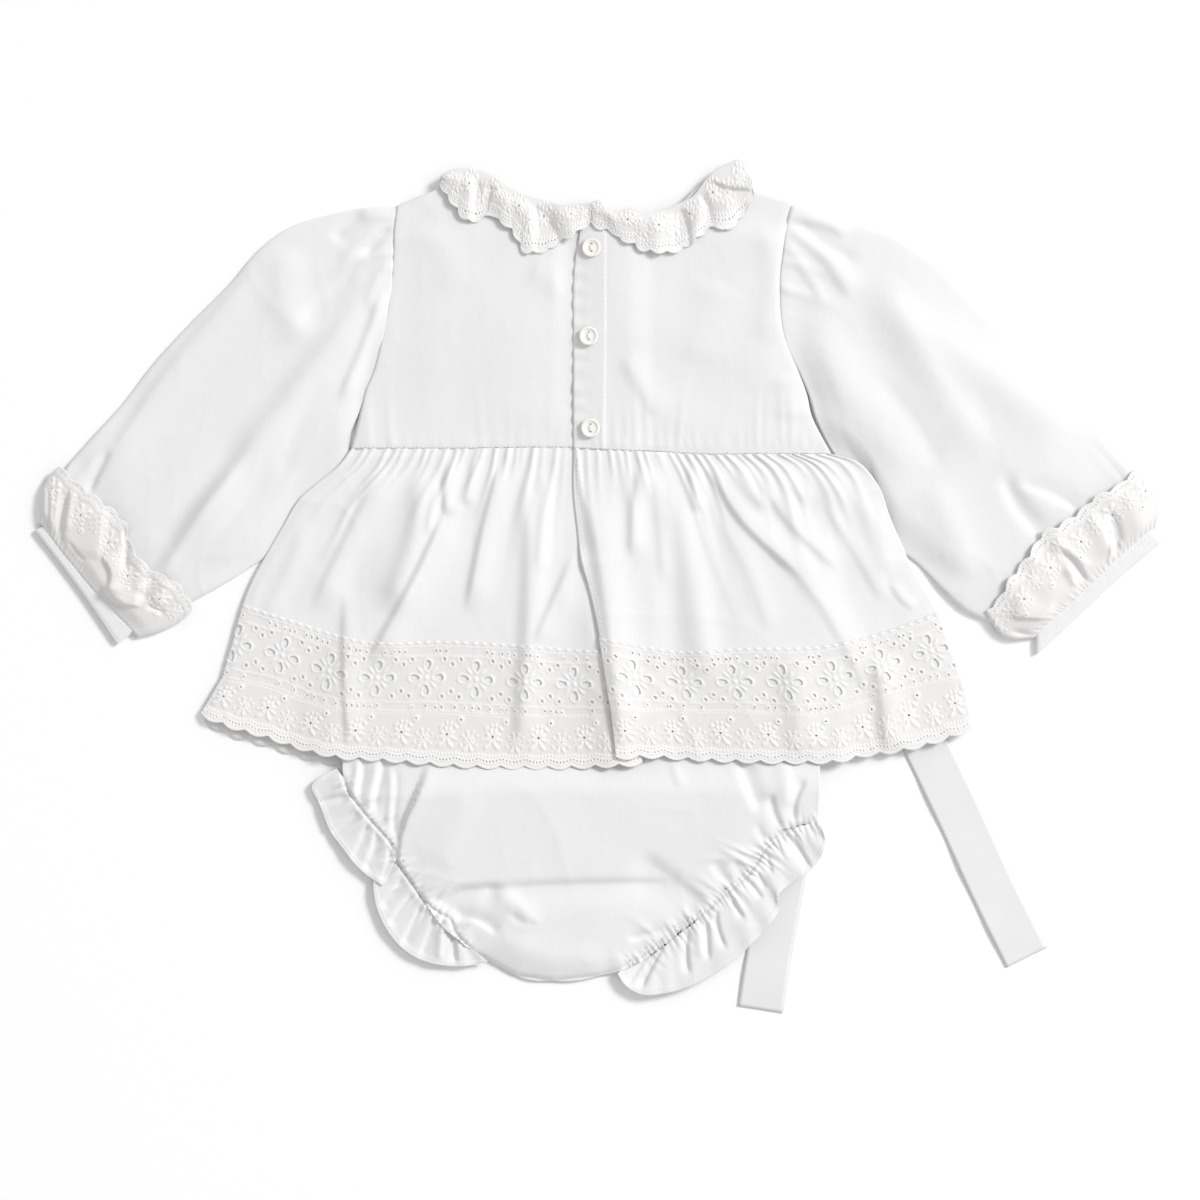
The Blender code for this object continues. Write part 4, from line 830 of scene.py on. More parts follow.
def sprigs(s, t, table):
    """The stitched pads of a table of sprigs on both sides of a daisy."""
    return [
        (s + side * out, t + down, long, wide, np.pi / 2 - side * lean, 0, 0)
        for side in (-1, 1) for out, down, long, wide, lean in table
    ]


def edging_pattern(long, reach, pitch, lace):
    """The scalloped edging, with a repeat of two scallops. A tall daisy round an eyelet has two
    leaves at its foot and buds around it, a small ringed daisy comes halfway, and a
    ringed eyelet between them near the seam. A row of pinholes in rings and a row of dots run
    inside the rim. reach is the depth of the lace in mm. Gives holes and pads."""
    holes, pads = [], []
    eye = lace.small_eyelet / MM * 0.66
    pin = eye * 0.6
    dots = round(pitch / 1.9)
    for k in range(round(long / pitch) + 1):
        for m in range(dots):
            s = (k + (m + 0.5) / dots) * pitch
            holes.append((s, reach - 3.5, pin, pin, 0, 0, 1.0))
            pads.append((s + 0.5 * pitch / dots, reach - 5.7, 0.75, 0.75, 0, 0, 0))
        s = (k + 0.5) * pitch
        if k % 2:
            t = reach - 12.2
            holes.append((s, t, pin, pin, 0, 0, 1.0))
            pads += daisy(s, t, 2.3, 0.95) + sprigs(s, t, SMALL_DAISY_SPRIGS)
            continue
        t = reach - 14.8
        holes.append((s, t, eye, eye, 0, 0, 0.9))
        pads += daisy(s, t, 3.0, 1.45) + sprigs(s, t, TALL_DAISY_SPRIGS)
        if reach > DEEP_LACE:
            pads += sprigs(s, t, FOOT_LEAVES)
            holes.append((s + pitch / 2, reach - 22.6, 0.8 * eye, 0.8 * eye, 0, 0, 1.3))
    return holes, pads


def satin_edge(s, t, reach):
    """The stitched rim of a scalloped edge, 1.8 mm wide, its threads lying across it."""
    return ease(2.3, 1.3, reach - t) * (0.72 + 0.28 * np.cos(2 * np.pi * s / 1.2))


def scallop(s, pitch):
    """How far a scalloped edge hangs out, from 0 to 1: the size of a sine, one hump a scallop."""
    return np.abs(np.sin(np.pi * s / pitch))


# Materials


def linear(code):
    """An sRGB hex colour as linear: c / 12.92 near black, and ((c + 0.055) / 1.055)^2.4."""
    values = [int(code[i:i + 2], 16) / 255 for i in (1, 3, 5)]
    return tuple(c / 12.92 if c <= 0.04045 else ((c + 0.055) / 1.055) ** 2.4 for c in values)


def add_node(tree, kind, inputs=None, **settings):
    """Adds a node with its settings, and sets or links its inputs."""
    node = tree.nodes.new(kind)
    for name, value in settings.items():
        setattr(node, name, value)
    for key, value in (inputs or {}).items():
        if isinstance(value, bpy.types.NodeSocket):
            tree.links.new(value, node.inputs[key])
        else:
            node.inputs[key].default_value = value
    return node


def new_material(name, colour, roughness, **fixed):
    """A material with a Principled shader and its fixed values, its tree and its shader."""
    material = bpy.data.materials.new(name)
    material.use_nodes = True
    shader = material.node_tree.nodes["Principled BSDF"]
    shader.inputs["Base Color"].default_value = (*colour, 1)
    shader.inputs["Roughness"].default_value = roughness
    for socket, value in fixed.items():
        shader.inputs[socket.replace("_", " ")].default_value = value
    return material, material.node_tree, shader


def on_cloth(tree):
    """A point's place on the uncut cloth, in metres."""
    return add_node(tree, "ShaderNodeUVMap", uv_map="cloth").outputs["UV"]


def on_piece(tree):
    """A point's place in the piece's own space, in metres."""
    return add_node(tree, "ShaderNodeTexCoord").outputs["Object"]


def maths(tree, operation, *values):
    """One sum on values or sockets."""
    inputs = dict(enumerate(values))
    return add_node(tree, "ShaderNodeMath", inputs, operation=operation).outputs[0]


def noise(tree, place, scale, **more):
    """Soft noise at a place, about 1 / scale metres from one rise to the next."""
    inputs = {"Vector": place, "Scale": scale, **more}
    return add_node(tree, "ShaderNodeTexNoise", inputs).outputs[0]


def streaks(tree, place, scales, **more):
    """Noise drawn out into streaks by a scale of its own each way."""
    stretched = add_node(tree, "ShaderNodeMapping", {"Vector": place, "Scale": scales})
    return noise(tree, stretched.outputs[0], 1.0, **more)


def mixed(tree, factor, first, second):
    """The first colour where the factor is 0 and the second where it is 1."""
    inputs = {0: factor, 6: (*first, 1), 7: (*second, 1)}
    return add_node(tree, "ShaderNodeMix", inputs, data_type="RGBA").outputs[2]


def bump(tree, height, strength, distance, **under):
    """The normal of a surface raised by a height, under another normal if one is given."""
    inputs = {"Height": height, "Strength": strength, "Distance": distance, **under}
    return add_node(tree, "ShaderNodeBump", inputs).outputs[0]


def weave_height(tree, spacing):
    """The height of a plain weave on the cloth's own map: the sine across times the sine down,
    one thread each spacing, with slubs as long streaks of noise both ways."""
    place = on_cloth(tree)
    turns = add_node(tree, "ShaderNodeVectorMath", {0: place, 1: (np.pi / spacing,) * 3},
                     operation="MULTIPLY")
    waves = add_node(tree, "ShaderNodeVectorMath", {0: turns.outputs[0]}, operation="SINE")
    parts = add_node(tree, "ShaderNodeSeparateXYZ", {0: waves.outputs[0]}).outputs
    height = maths(tree, "MULTIPLY", parts[0], parts[1])
    for scales in ((18, 900, 1), (900, 18, 1)):
        slubs = streaks(tree, place, scales, Detail=2.0)
        height = maths(tree, "MULTIPLY_ADD", slubs, 1.6, height)
    return height


def cotton_lawn(name, colours):
    """Cotton lawn, plain woven and pressed: matt, with a faint nap, slubs and soft creases."""
    material, tree, shader = new_material(name, colours.lawn, 0.86, Sheen_Weight=0.25,
                                          Sheen_Roughness=0.5, Specular_IOR_Level=0.25)
    spacing = bpy.context.scene.outfit_cloth.thread_spacing
    weave = bump(tree, weave_height(tree, spacing), 0.5, 0.00005)
    creases = noise(tree, on_piece(tree), 90.0, Detail=4.0, Roughness=0.6)
    soft = bump(tree, creases, 0.26, 0.0008, Normal=weave)
    tree.links.new(soft, shader.inputs["Normal"])
    return material


def eyelet_lace(name, colours):
    """Broderie anglaise: the same lawn, with satin stitch in cotton floss that stands proud,
    catches the light a little and shows its threads across each rim."""
    material, tree, shader = new_material(name, colours.lace, 0.8, Sheen_Weight=0.25,
                                          Sheen_Roughness=0.4, Specular_IOR_Level=0.3)
    stitch = add_node(tree, "ShaderNodeAttribute", attribute_name="stitch").outputs["Fac"]
    tint = mixed(tree, stitch, colours.lace, colours.floss)
    tree.links.new(tint, shader.inputs["Base Color"])
    floss = maths(tree, "MULTIPLY", noise(tree, on_cloth(tree), 1500.0, Detail=2.0), stitch)
    weave = weave_height(tree, bpy.context.scene.outfit_cloth.thread_spacing)
    cover = maths(tree, "MULTIPLY_ADD", floss, 5.0, weave)
    tree.links.new(bump(tree, cover, 0.7, 0.00008), shader.inputs["Normal"])
    return material


def satin_ribbon(name, colours):
    """Polyester satin ribbon: long floats along it give a soft streaked gloss across it, and
    its two edges are ribbed."""
    material, tree, shader = new_material(name, colours.satin, 0.36, Sheen_Weight=0.3,
                                          Specular_IOR_Level=0.6, Anisotropic=0.6)
    place = on_cloth(tree)
    floats = streaks(tree, place, (2200, 30, 1))
    across, along, _ = add_node(tree, "ShaderNodeSeparateXYZ", {0: place}).outputs
    ribs = maths(tree, "SINE", maths(tree, "MULTIPLY", along, 2 * np.pi / 0.0017))
    from_middle = maths(tree, "ABSOLUTE", across)
    at_edge = add_node(tree, "ShaderNodeMapRange", {0: from_middle, 1: 0.0108, 2: 0.0115})
    edge = maths(tree, "MULTIPLY", ribs, at_edge.outputs[0])
    height = maths(tree, "MULTIPLY_ADD", edge, 4.0, floats)
    tree.links.new(bump(tree, height, 0.35, 0.00006), shader.inputs["Normal"])
    return material


def button_shell(name, colours):
    """Buttons turned from white polyester resin and tumbled bright: a glassy skin over a body
    that is faintly cloudy."""
    material, tree, shader = new_material(name, colours.button, 0.22, Coat_Weight=0.5,
                                          Coat_Roughness=0.08)
    cloud = noise(tree, on_piece(tree), 350.0)
    darker = tuple(0.94 * c for c in colours.button)
    tone = mixed(tree, cloud, colours.button, darker)
    tree.links.new(tone, shader.inputs["Base Color"])
    return material


def sewing_thread(name, colours):
    """Spun polyester thread, twisted: matt, with the twist as a fine slanting rib."""
    material, tree, shader = new_material(name, colours.floss, 0.7, Sheen_Weight=0.2)
    twist = add_node(tree, "ShaderNodeTexWave", {"Vector": on_piece(tree), "Scale": 900.0},
                     bands_direction="DIAGONAL")
    tree.links.new(bump(tree, twist.outputs[1], 0.4, 0.00005), shader.inputs["Normal"])
    return material


def painted_floor(name, colours):
    """A pale matt floor."""
    return new_material(name, colours.floor, 0.9, Specular_IOR_Level=0.2)[0]


MATERIALS = {
    "cotton_lawn": ("pressed_lawn", cotton_lawn),
    "eyelet_lace": ("embroidered_lawn", eyelet_lace),
    "satin_ribbon": ("woven_satin", satin_ribbon),
    "button_shell": ("polished_resin", button_shell),
    "thread": ("sewing_thread", sewing_thread),
    "floor": ("painted_floor", painted_floor),
}


def material_of(slot):
    """The material of a slot, made when it is first asked for."""
    name, make = MATERIALS[slot]
    made = bpy.data.materials.get(name)
    return made or make(name, bpy.context.scene.outfit_colours)


# The pieces


def near_edge(x, y, table, reach):
    """0 on a table's line and 1 from reach mm away from it."""
    return ease(0, reach, distance(table, x, y)[0])


def pleats(u, down, count, rise, reach, seed):
    """Small pleats that fan out from a gathered seam: one bell across for each, unevenly placed,
    tall and long, its width growing and its height dying with the distance from the seam."""
    random = np.random.default_rng(seed)
    z = np.zeros(u.shape)
    for k in range(count):
        place = (k + random.uniform(0.15, 0.85)) / count
        lean = random.uniform(-0.5, 0.5) / count
        half = random.uniform(0.13, 0.27) / count
        height = rise * random.uniform(0.35, 1.15)
        far = reach * random.choice((0.35, 0.6, 1.0, 1.7))
        gap = (u - place - lean * down / 30) / (half * (1 + down / 35))
        z += height * np.exp(-(gap**2)) * np.exp(-((down / far) ** 2))
    return z


def bodice_rise(x, y):
    """The bodice's creases, and its small pleats rising from the waist."""
    up = np.maximum(y - WAIST_Y, 0)
    small = pleats((x + 140) / 270, up, 52, 0.8, 15, 21) * ease(0.5, 4, up)
    slow = 1.0 * (1 + hollows(x, y, 42, 23)) * ease(3, 25, up) * ease(112, 88, np.abs(x))
    return (np.clip(folds(BODICE_FOLDS, x, y), 0, None) + small + slow) * ease(206, 190, y)


def drawn_down(x, y, *seams):
    """How much a bodice half is drawn down at its seams."""
    near = np.minimum(*(near_edge(x, y, seam, 3) for seam in seams))
    return 0.35 * (1 - near)


def left_bodice_face(x, y, *_):
    """The left bodice back: on the front, flat where it goes under the placket, and drawn down
    a little at its seams."""
    lying = back_base(x, y) + WALL + bodice_rise(x, y) * ease(-16, -26, x)
    return lying - drawn_down(x, y, ARMHOLE_LEFT, WAIST_LEFT)


def right_bodice_face(x, y, *_):
    """The right bodice back, a layer up where it lies on the left one."""
    lying = back_base(x, y) + WALL + LAYER * ease(*OVER_LEFT_PLACKET, x)
    lying = lying + bodice_rise(x, y) * ease(-14, 14, x)
    return lying - drawn_down(x, y, ARMHOLE_RIGHT, WAIST_RIGHT)


def placket_face(x, y, *_):
    """The placket: on the right back's edge, its own free edge rolled under, puckered across by
    its sewing every 9 mm or so, more beside that edge."""
    across = x - centre_edge(y)
    pucker = 0.35 * np.sin(2 * np.pi * (y + 2 * hollows(x, y, 12, 31)) / 9.0) * ease(12, 0, across)
    roll = -0.9 * ease(17, 0, across) - 0.25 * ease(1.2, 0, across)
    return right_bodice_face(x, y) + 0.15 + pucker + roll


def skirt_face(x, y, right, gathers=0.0):
    """The face of the skirt's back and its laces: on the bloomers, with folds. The left one's
    die where it goes under the right one, which lies on it. Both come down at the sides."""
    lying = back_base(x, y) + over_bloomers(x, y) + WALL
    ridges = 1.2 * (folds(SKIRT_FOLDS, x, y) + folds(SKIRT_CREASES, x, y))
    ridges = ridges * ease(WAIST_Y, WAIST_Y - 17, y) + gathers
    if right:
        side, drop = (*SIDE_RIGHT, (199, -51.5), (204.5, -77)), -0.3
    else:
        side, drop = (*SIDE_LEFT, (-208, -51.5), (-219, -69)), -0.8
    dip = drop * (1 - near_edge(x, y, side, 5))
    off = x - centre_edge(y)
    lying = lying + 3.2 * ease(36, -60, y) * np.exp(-((off / (11 + 3 * (off > 0))) ** 2))
    if right:
        edge = -1.0 * ease(-60, 40, y) * np.exp(-((off / 9) ** 2))
        return lying + ridges + LAYER * ease(*OVER_LEFT_SKIRT, x) + dip + edge
    return lying + ridges * ease(*UNDER_CENTRE_EDGE, off) + dip


def bloomers_base(x, y):
    """The underside of the front of the bloomers: on the table, then on the skirt's front."""
    return over_ribbons(x, y) + LAYER * ease(*OVER_FRONT_HEM, y)


def leg_gathers(x, y, leg):
    """Tight pleats across a leg seam, on both of its sides: a bell along the seam for each, with
    its own place, width, lean, height and reach, where the highest counts, less the groove of
    the seam itself."""
    seam, seed = LEG_SEAMS[leg]
    line = curve(seam, np.linspace(0, 1, 49))
    gap, side, place = distance(line, x, y)
    long, random = length(line), np.random.default_rng(seed)
    along, z, at = place * long, np.zeros(np.shape(x)), 1.0
    while at < long:
        pitch = random.uniform(1.9, 3.9)
        half = pitch * random.uniform(0.26, 0.38)
        lean, height = random.uniform(-0.2, 0.2), LEG_PLEAT_RISE * random.uniform(0.45, 1.25)
        inner, outer = random.uniform(3, 7), random.uniform(4, 12)
        if random.uniform() < 0.12:
            inner = 15
        far = np.where((side > 0) == (leg == "left"), inner, outer)
        across = (along - at - lean * gap) / (half * (1 + gap / 9))
        z = np.maximum(z, height * np.exp(-(across**2) - (gap / far) ** 2))
        at += pitch
    return z * (0.4 + 0.6 * ease(0, 1.6, gap)) - 0.4 * np.exp(-((gap / 1.3) ** 2))


def bloomers_face(x, y, *_):
    """The back of the bloomers: flat inside the skirt, then puffed between the leg seams, rising
    from them as one less a dying exponential. Left of the overhang it lies low."""
    left, _, _ = distance(LEG_SEAM_LEFT, x, y)
    right, _, _ = distance(LEG_SEAM_RIGHT, x, y)
    seat, _, _ = distance(BLOOMERS_SEAT, x, y)
    near = np.minimum(np.minimum(left, right), seat)
    free = ease(-74, -58, x) * ease(14, 2, x)
    puff = 3.6 * (1 - np.exp(-near / 8)) + 1.6 * (1 - np.exp(-near / 24))
    puff -= 1.5 * free * np.exp(-((seat / 1.6) ** 2))
    puff += 0.5 * (1 - free) * np.exp(-((seat / 5) ** 2))
    gap, side, _ = distance(SEAT_OVERHANG, x, y)
    over = ease(-1.6, 1.2, np.where(side > 0, gap, -gap))
    low = 0.9 * (1 - np.exp(-near / 3))
    puff = low + (puff + 0.9 * np.exp(-((gap / 7) ** 2)) - low) * over + 1.5 * np.exp(-left / 5)
    tight = leg_gathers(x, y, "left") + leg_gathers(x, y, "right")
    lying = over_ribbons(x, y) + LAYER * ease(-165, -98, y) + LAYER + WALL
    lying = lying + puff * ease(-92, -114, y)
    creases = folds(BLOOMERS_FOLDS, x, y) * ease(-90, -101, y)
    creases = np.where(creases < 0, creases * ease(0, 7, np.minimum(left, right)), creases)
    return lying + creases + tight * ease(-92, -104, y)


def stitch_rise():
    """How far satin stitch stands above the cloth, in mm."""
    return bpy.context.scene.outfit_lace.stitch_rise / MM


def flattened_tube(name, edges, counts, low, high, flat, pattern=None, under=1.0):
    """A tube pressed flat: rings between two folded edges. Along a ring, w goes from fold to
    fold over the top and back below. Near a fold the two faces meet in half a circle: the
    height goes from their middle to each face as the sine, and w as one less the cosine."""
    _, _, first, second = edges
    across, down = counts
    turn = np.linspace(0, np.pi / 2, 5)[:-1]
    stations = np.linspace(0, 1, down + 1)
    width = np.linalg.norm(curve(first, stations) - curve(second, stations), axis=1)[:, None]
    rim = FOLD_EDGE / width

    def half(count):
        inner = rim + np.linspace(0, 1, count + 1)[None] * (1 - 2 * rim)
        w = np.hstack([rim * (1 - np.cos(turn)), inner, 1 - rim * (1 - np.cos(turn[::-1]))])
        return w, np.hstack([np.sin(turn), np.ones(count + 1), np.sin(turn[::-1])])[None] + 0 * w

    (w, lift), (below, under_lift) = half(across), half(across // 4)
    w, lift = np.hstack([w, below[:, -2:0:-1]]), np.hstack([lift, -under_lift[:, -2:0:-1]])
    reach = 1 - (1 - under) * (0.5 - 0.5 * lift)
    v = stations[:, None] * reach
    around = np.cumsum(np.abs(np.diff(w, axis=1)), axis=1)
    around = np.hstack([0 * w[:, :1], around, 2 + 0 * w[:, :1]])
    s = around * flat[0] / 2
    t = np.hstack([v, v[:, :1]]) * flat[1]
    keep, stitch = None, None
    if pattern:
        keep, stitch, s, t = pattern(s, t)
        w = np.interp(s[:, :-1] / flat[0] * 2, (0, 1, 2), (0, 1, 0))
        v = t[:, :-1] / flat[1]
        stitch = stitch[:, :-1]
    plan = between(edges, w, v)
    x, y = plan[..., 0], plan[..., 1]
    floor, roof = low(w, v, x, y), high(w, v, x, y)
    z = (floor + roof) / 2 + lift * (roof - floor) / 2
    if stitch is not None:
        z += lift * stitch_rise() * stitch
    return add_sheet(name, np.dstack([plan, z]), np.dstack([s, t]), keep, stitch, closed=True)


def lace_strip(name, top, foot, face, spacing, pattern, hang=None, stretch=1.0):
    """A strip of lace between its sewn edge and its free one. s runs along the cloth and t down
    it, in mm; pattern gives its holes and raised stitches there; hang is how far it is let
    down beyond the foot line, which makes the scallops."""
    long = stretch * length(foot)
    ends = curve(foot, np.linspace(0, 1, 9)) - curve(top, np.linspace(0, 1, 9))
    reach = stretch * float(np.linalg.norm(ends, axis=1).mean())
    s, t = np.meshgrid(np.linspace(0, long, round(long / spacing) + 1),
                       np.linspace(0, reach, round(reach / spacing) + 1))
    keep, stitch, s, t = pattern(s, t, long, reach)
    u, v = s / long, t / reach
    plan = between(strip(top, foot), u, v)
    if hang is not None:
        plan += outward(foot, u) * (hang(s) * ease(0.55, 1, v))[..., None]
    x, y = plan[..., 0], plan[..., 1]
    z = face(x, y, u, v) + stitch_rise() * stitch
    return add_sheet(name, np.dstack([plan, z]), np.dstack([s, t]), keep, stitch)


def band_lace(s, t, long, reach, first):
    """The pattern of the eyelet band, its repeat drawn to fit."""
    lace = bpy.context.scene.outfit_lace
    repeat = lace.flower_repeat / MM
    holes, pads = band_pattern(long, reach, first, repeat, lace)
    keep = pierce(s, t, holes)
    return keep, np.maximum(embroidery(s, t, holes + pads), ladder(s, t, reach)), s, t


def plain_lace(s, t, long, reach):
    """The hidden band: its two ladders alone."""
    return None, ladder(s, t, reach), s, t


def rim_lace(s, t, long, reach):
    """A hidden edging: its stitched rim alone."""
    return None, satin_edge(s, t, reach), s, t


def edging_lace(s, t, long, reach, pitch=HEM_SCALLOP):
    """The pattern of the scalloped edging, with a whole number of scallops."""
    pitch = long / round(long / pitch)
    holes, pads = edging_pattern(long, reach, pitch, bpy.context.scene.outfit_lace)
    keep = pierce(s, t, [row for row in holes if 1 < row[0] < long - 1 and 1 < row[1] < reach - 1])
    raised = np.maximum(embroidery(s, t, holes + pads), satin_edge(s, t, reach))
    return keep, raised, s, t


class OutfitPiece:
    """What every operator that makes cloth shares."""

    bl_options = {"REGISTER", "UNDO"}

    def execute(self, context):
        self.make(context)
        return {"FINISHED"}


class OUTFIT_OT_front(OutfitPiece, Operator):
    """Lays the front of the blouse, which is under everything"""

    bl_idname = "outfit.front"
    bl_label = "Blouse Front"

    def make(self, context):
        def lying(x, y, *_):
            return front_base(x, y) + HIDDEN_RISE

        def on_table(x, y, *_):
            return 0 * x + HIDDEN_RISE

        left, right = moved(ARMHOLE_LEFT, SEAM), moved(ARMHOLE_RIGHT, -SEAM)
        shoulders = (left[0], *SHOULDER_AND_NECK_FRONT, right[0])
        waist = (left[-1], (0, 75.5), right[-1])
        band_top = BAND_TOP_LEFT[:-2] + BAND_TOP_RIGHT[4:]
        band_foot = BAND_FOOT_LEFT[:-2] + BAND_FOOT_RIGHT[2:]
        skirt = joined(waist, moved(band_top, 0, -1), SIDE_LEFT, SIDE_RIGHT)
        for name, edges, counts, cut in (
            ("bodice_front", (shoulders, waist, left, right), (40, 24), (225, 130)),
            ("skirt_front", skirt, (60, 20), (330, 105)),
        ):
            add_panel(name, edges, counts, lying, None, cut)
        band = lace_strip("lace_band_front", band_top, band_foot, lying, 3.6, plain_lace)
        finish_sheet(band, "eyelet_lace", (400, 41))
        hem = lace_strip("hem_lace_front", moved(band_foot, 0, 1), HEM_FRONT, lying, 2.6, rim_lace,
                         lambda s: HEM_SCALLOP_DEPTH * scallop(s, HEM_SCALLOP))
        finish_sheet(hem, "eyelet_lace", (420, 25))
        collar = lace_strip("collar_frill_front", NECK_FRONT, COLLAR_FRONT_FREE, on_table, 1.9,
                            rim_lace, lambda s: 1.5 * scallop(s, 12))
        finish_sheet(collar, "eyelet_lace", (200, 27))


class OUTFIT_OT_bloomers(OutfitPiece, Operator):
    """Lays the bloomers, gathered into their leg seams"""

    bl_idname = "outfit.bloomers"
    bl_label = "Bloomers"

    def make(self, context):
        edges = (BLOOMERS_WAIST, BLOOMERS_SEAT, BLOOMERS_SIDE_LEFT, BLOOMERS_SIDE_RIGHT)

        def more_below(u, v):
            """Few rows beneath the skirt, and columns closer together towards the leg seams."""
            columns = 0.45 * u + 0.275 * (1 - np.cos(np.pi * u))
            return columns, np.interp(v, (0, 0.12, 1), (0, 0.4, 1))

        def hidden(x, y, *_):
            return bloomers_base(x, y) + HIDDEN_RISE

        add_panel("bloomers_back", edges, (158, 150), bloomers_face, 61, (240, 205),
                  more_below)
        x, y = BLOOMERS_MIDDLE
        inner = [tuple((x + (a - x) * DRAWN_IN, y + (b - y) * DRAWN_IN) for a, b in edge)
                 for edge in edges]
        add_panel("bloomers_front", inner, (44, 36), hidden, None, (240, 195))


class OUTFIT_OT_leg_frills(OutfitPiece, Operator):
    """Lays the ruffles of the leg openings"""

    bl_idname = "outfit.leg_frills"
    bl_label = "Leg Frills"

    def make(self, context):
        shown = (
            ("left_hip", "left", LEG_FRILL_HIP, 71, (85, 22)),
            ("left_seat", "left", LEG_FRILL_SEAT, 73, (90, 22)),
            ("right", "right", LEG_FRILL_RIGHT, 79, (180, 28)),
        )
        for name, leg, rows, seed, cut in shown:
            rows = np.array(rows, float)
            seam, free = rows[:, :2], rows[:, 2:]
            inside = seam - 1.6 * (free - seam) / np.linalg.norm(free - seam, axis=1)[:, None]
            long = length(seam)

            def flared(x, y, u, v):
                """The pleats of the seam run on as fewer, wider waves: a sine along the free
                edge whose phase wanders, growing with v, as the edge itself lifts. The right
                one starts at the height of the bloomers' edge."""
                fine = leg_gathers(x, y, leg)
                if name != "left_hip":
                    fine = fine * ease(0.93, 0.8, u)
                along = u * long
                phase = along / 13 + 0.8 * hollows(along, 0 * u + 9, 17, seed)
                waves = 1.3 * (0.5 + 0.5 * np.sin(2 * np.pi * phase))
                waves = waves * (0.6 + 0.4 * hollows(along, 0 * u, 22, seed))
                bend = 2.2 * v if leg == "right" else 1.65 - 0.5 * v
                creases = folds(LEG_FRILL_FOLDS, x, y) * ease(0.05, 0.25, v)
                raised = waves * v**0.8 + creases + bend
                hem = 0.16 * ease(0.86, 0.89, v)
                lying = over_ribbons(x, y) + LAYER + WALL + hem - 0.25
                lying += np.clip(raised, -0.8, None) * ease(-98, -106, y)
                lying += fine * ease(-92, -104, y)
                if leg == "right":
                    sewn = bloomers_face(x, y) - 0.1 - 0.45 * ease(0.07, 0.02, v)
                    return lying + (sewn - lying) * ease(0.24, 0.07, v)
                lying += LAYER * ease(-165, -98, y) * ease(1, 0.1, v)
                return lying - 0.35 * ease(0.1, 0.03, v)

            add_panel(f"leg_frill_{name}", strip(inside, free), (round(long / 0.6), 38), flared,
                      seed, cut)

        def low_waves(x, y, u, v):
            """Behind, on the table: waves alone, growing towards the free edge."""
            return over_ribbons(x, y) + HIDDEN_RISE + 0.5 * v * (0.5 + 0.5 * np.sin(90 * u))

        for name, rows, cut in (
            ("left_front", LEG_FRILL_HIP[1:] + LEG_FRILL_SEAT, (140, 11)),
            ("right_front", LEG_FRILL_RIGHT[1:], (150, 18)),
        ):
            rows = np.array(rows, float)
            seam, free = rows[:, :2], rows[:, 2:]
            edges = strip(seam, seam + (free - seam) * HIDDEN_FRILL)
            add_panel(f"leg_frill_{name}", edges, (90, 8), low_waves, None, cut)


class OUTFIT_OT_bodice_back(OutfitPiece, Operator):
    """Lays the two halves of the bodice's back and the button placket"""

    bl_idname = "outfit.bodice_back"
    bl_label = "Bodice Back"

    def make(self, context):
        left, right = ARMHOLE_LEFT, ARMHOLE_RIGHT
        top, foot = (left[0], *SHOULDER_AND_NECK_LEFT[1:]), (left[-1], *WAIST_LEFT[1:])
        edges = (top, foot, left, (top[-1], foot[-1]))
        add_panel("bodice_back_left", edges, (74, 80), left_bodice_face, 81, (125, 140))
        top = (*NECK_AND_SHOULDER_RIGHT[:-1], right[0])
        foot = (PLACKET_STITCH[-1], *WAIST_RIGHT[2:-1], right[-1])
        add_panel("bodice_back_right", (top, foot, PLACKET_STITCH, right), (74, 86),
                  right_bodice_face, 85, (115, 140))
        free, sewn = CENTRE_EDGE_BODICE, moved(PLACKET_STITCH, 1.2)
        edges = ((free[0], sewn[0]), (free[-1], sewn[-1]), free, sewn)
        add_panel("button_placket", edges, (16, 100), placket_face, 85, (17, 132))


class OUTFIT_OT_skirt_back(OutfitPiece, Operator):
    """Lays the two gathered halves of the skirt's back"""

    bl_idname = "outfit.skirt_back"
    bl_label = "Skirt Back"

    def make(self, context):
        sides = (
            ("left", WAIST_LEFT, BAND_FOOT_LEFT, SIDE_LEFT, UNDER_EDGE_SKIRT, 27, 3),
            ("right", WAIST_RIGHT, BAND_FOOT_RIGHT, CENTRE_EDGE_SKIRT, SIDE_RIGHT, 26, 8),
        )

        def fewer_below(u, v):
            """Rows further apart beneath the eyelet band, on the last quarter."""
            return u, np.interp(v, (0, 0.88, 1), (0, 0.73, 1))

        for side, waist, hem, first, second, count, seed in sides:

            def gathered(x, y, u, v):
                down = np.maximum(WAIST_Y - y, 0)
                small = pleats(u, down, count, 1.5, 32, seed)
                tucked = 0.4 * ease(3.0, 0.0, down)
                return skirt_face(x, y, side == "right", small) - tucked

            edges = joined(moved(waist, 0, 0.4), moved(hem, 0, 1.0), first, second)
            add_panel(f"skirt_back_{side}", edges, (156, 84), gathered, SKIRT_CRUMPLE, (230, 145),
                      fewer_below)


class OUTFIT_OT_lace_bands(OutfitPiece, Operator):
    """Sews the eyelet bands to the two halves of the skirt's back"""

    bl_idname = "outfit.lace_bands"
    bl_label = "Eyelet Bands"

    def make(self, context):
        sides = (
            ("left", BAND_TOP_LEFT, BAND_FOOT_LEFT, 29.7),
            ("right", BAND_TOP_RIGHT, BAND_FOOT_RIGHT, 17.0),
        )
        for side, top, foot, first in sides:

            def lying(x, y, u, v):
                worn = sheet_crumple(x, y, SKIRT_CRUMPLE)
                return skirt_face(x, y, side == "right") + BAND_RISE + worn

            band = lace_strip(f"lace_band_{side}", moved(top, 0, 0.6), foot, lying, 0.74,
                              lambda s, t, long, reach: band_lace(s, t, long, reach, first))
            finish_sheet(band, "eyelet_lace", (215, 41))


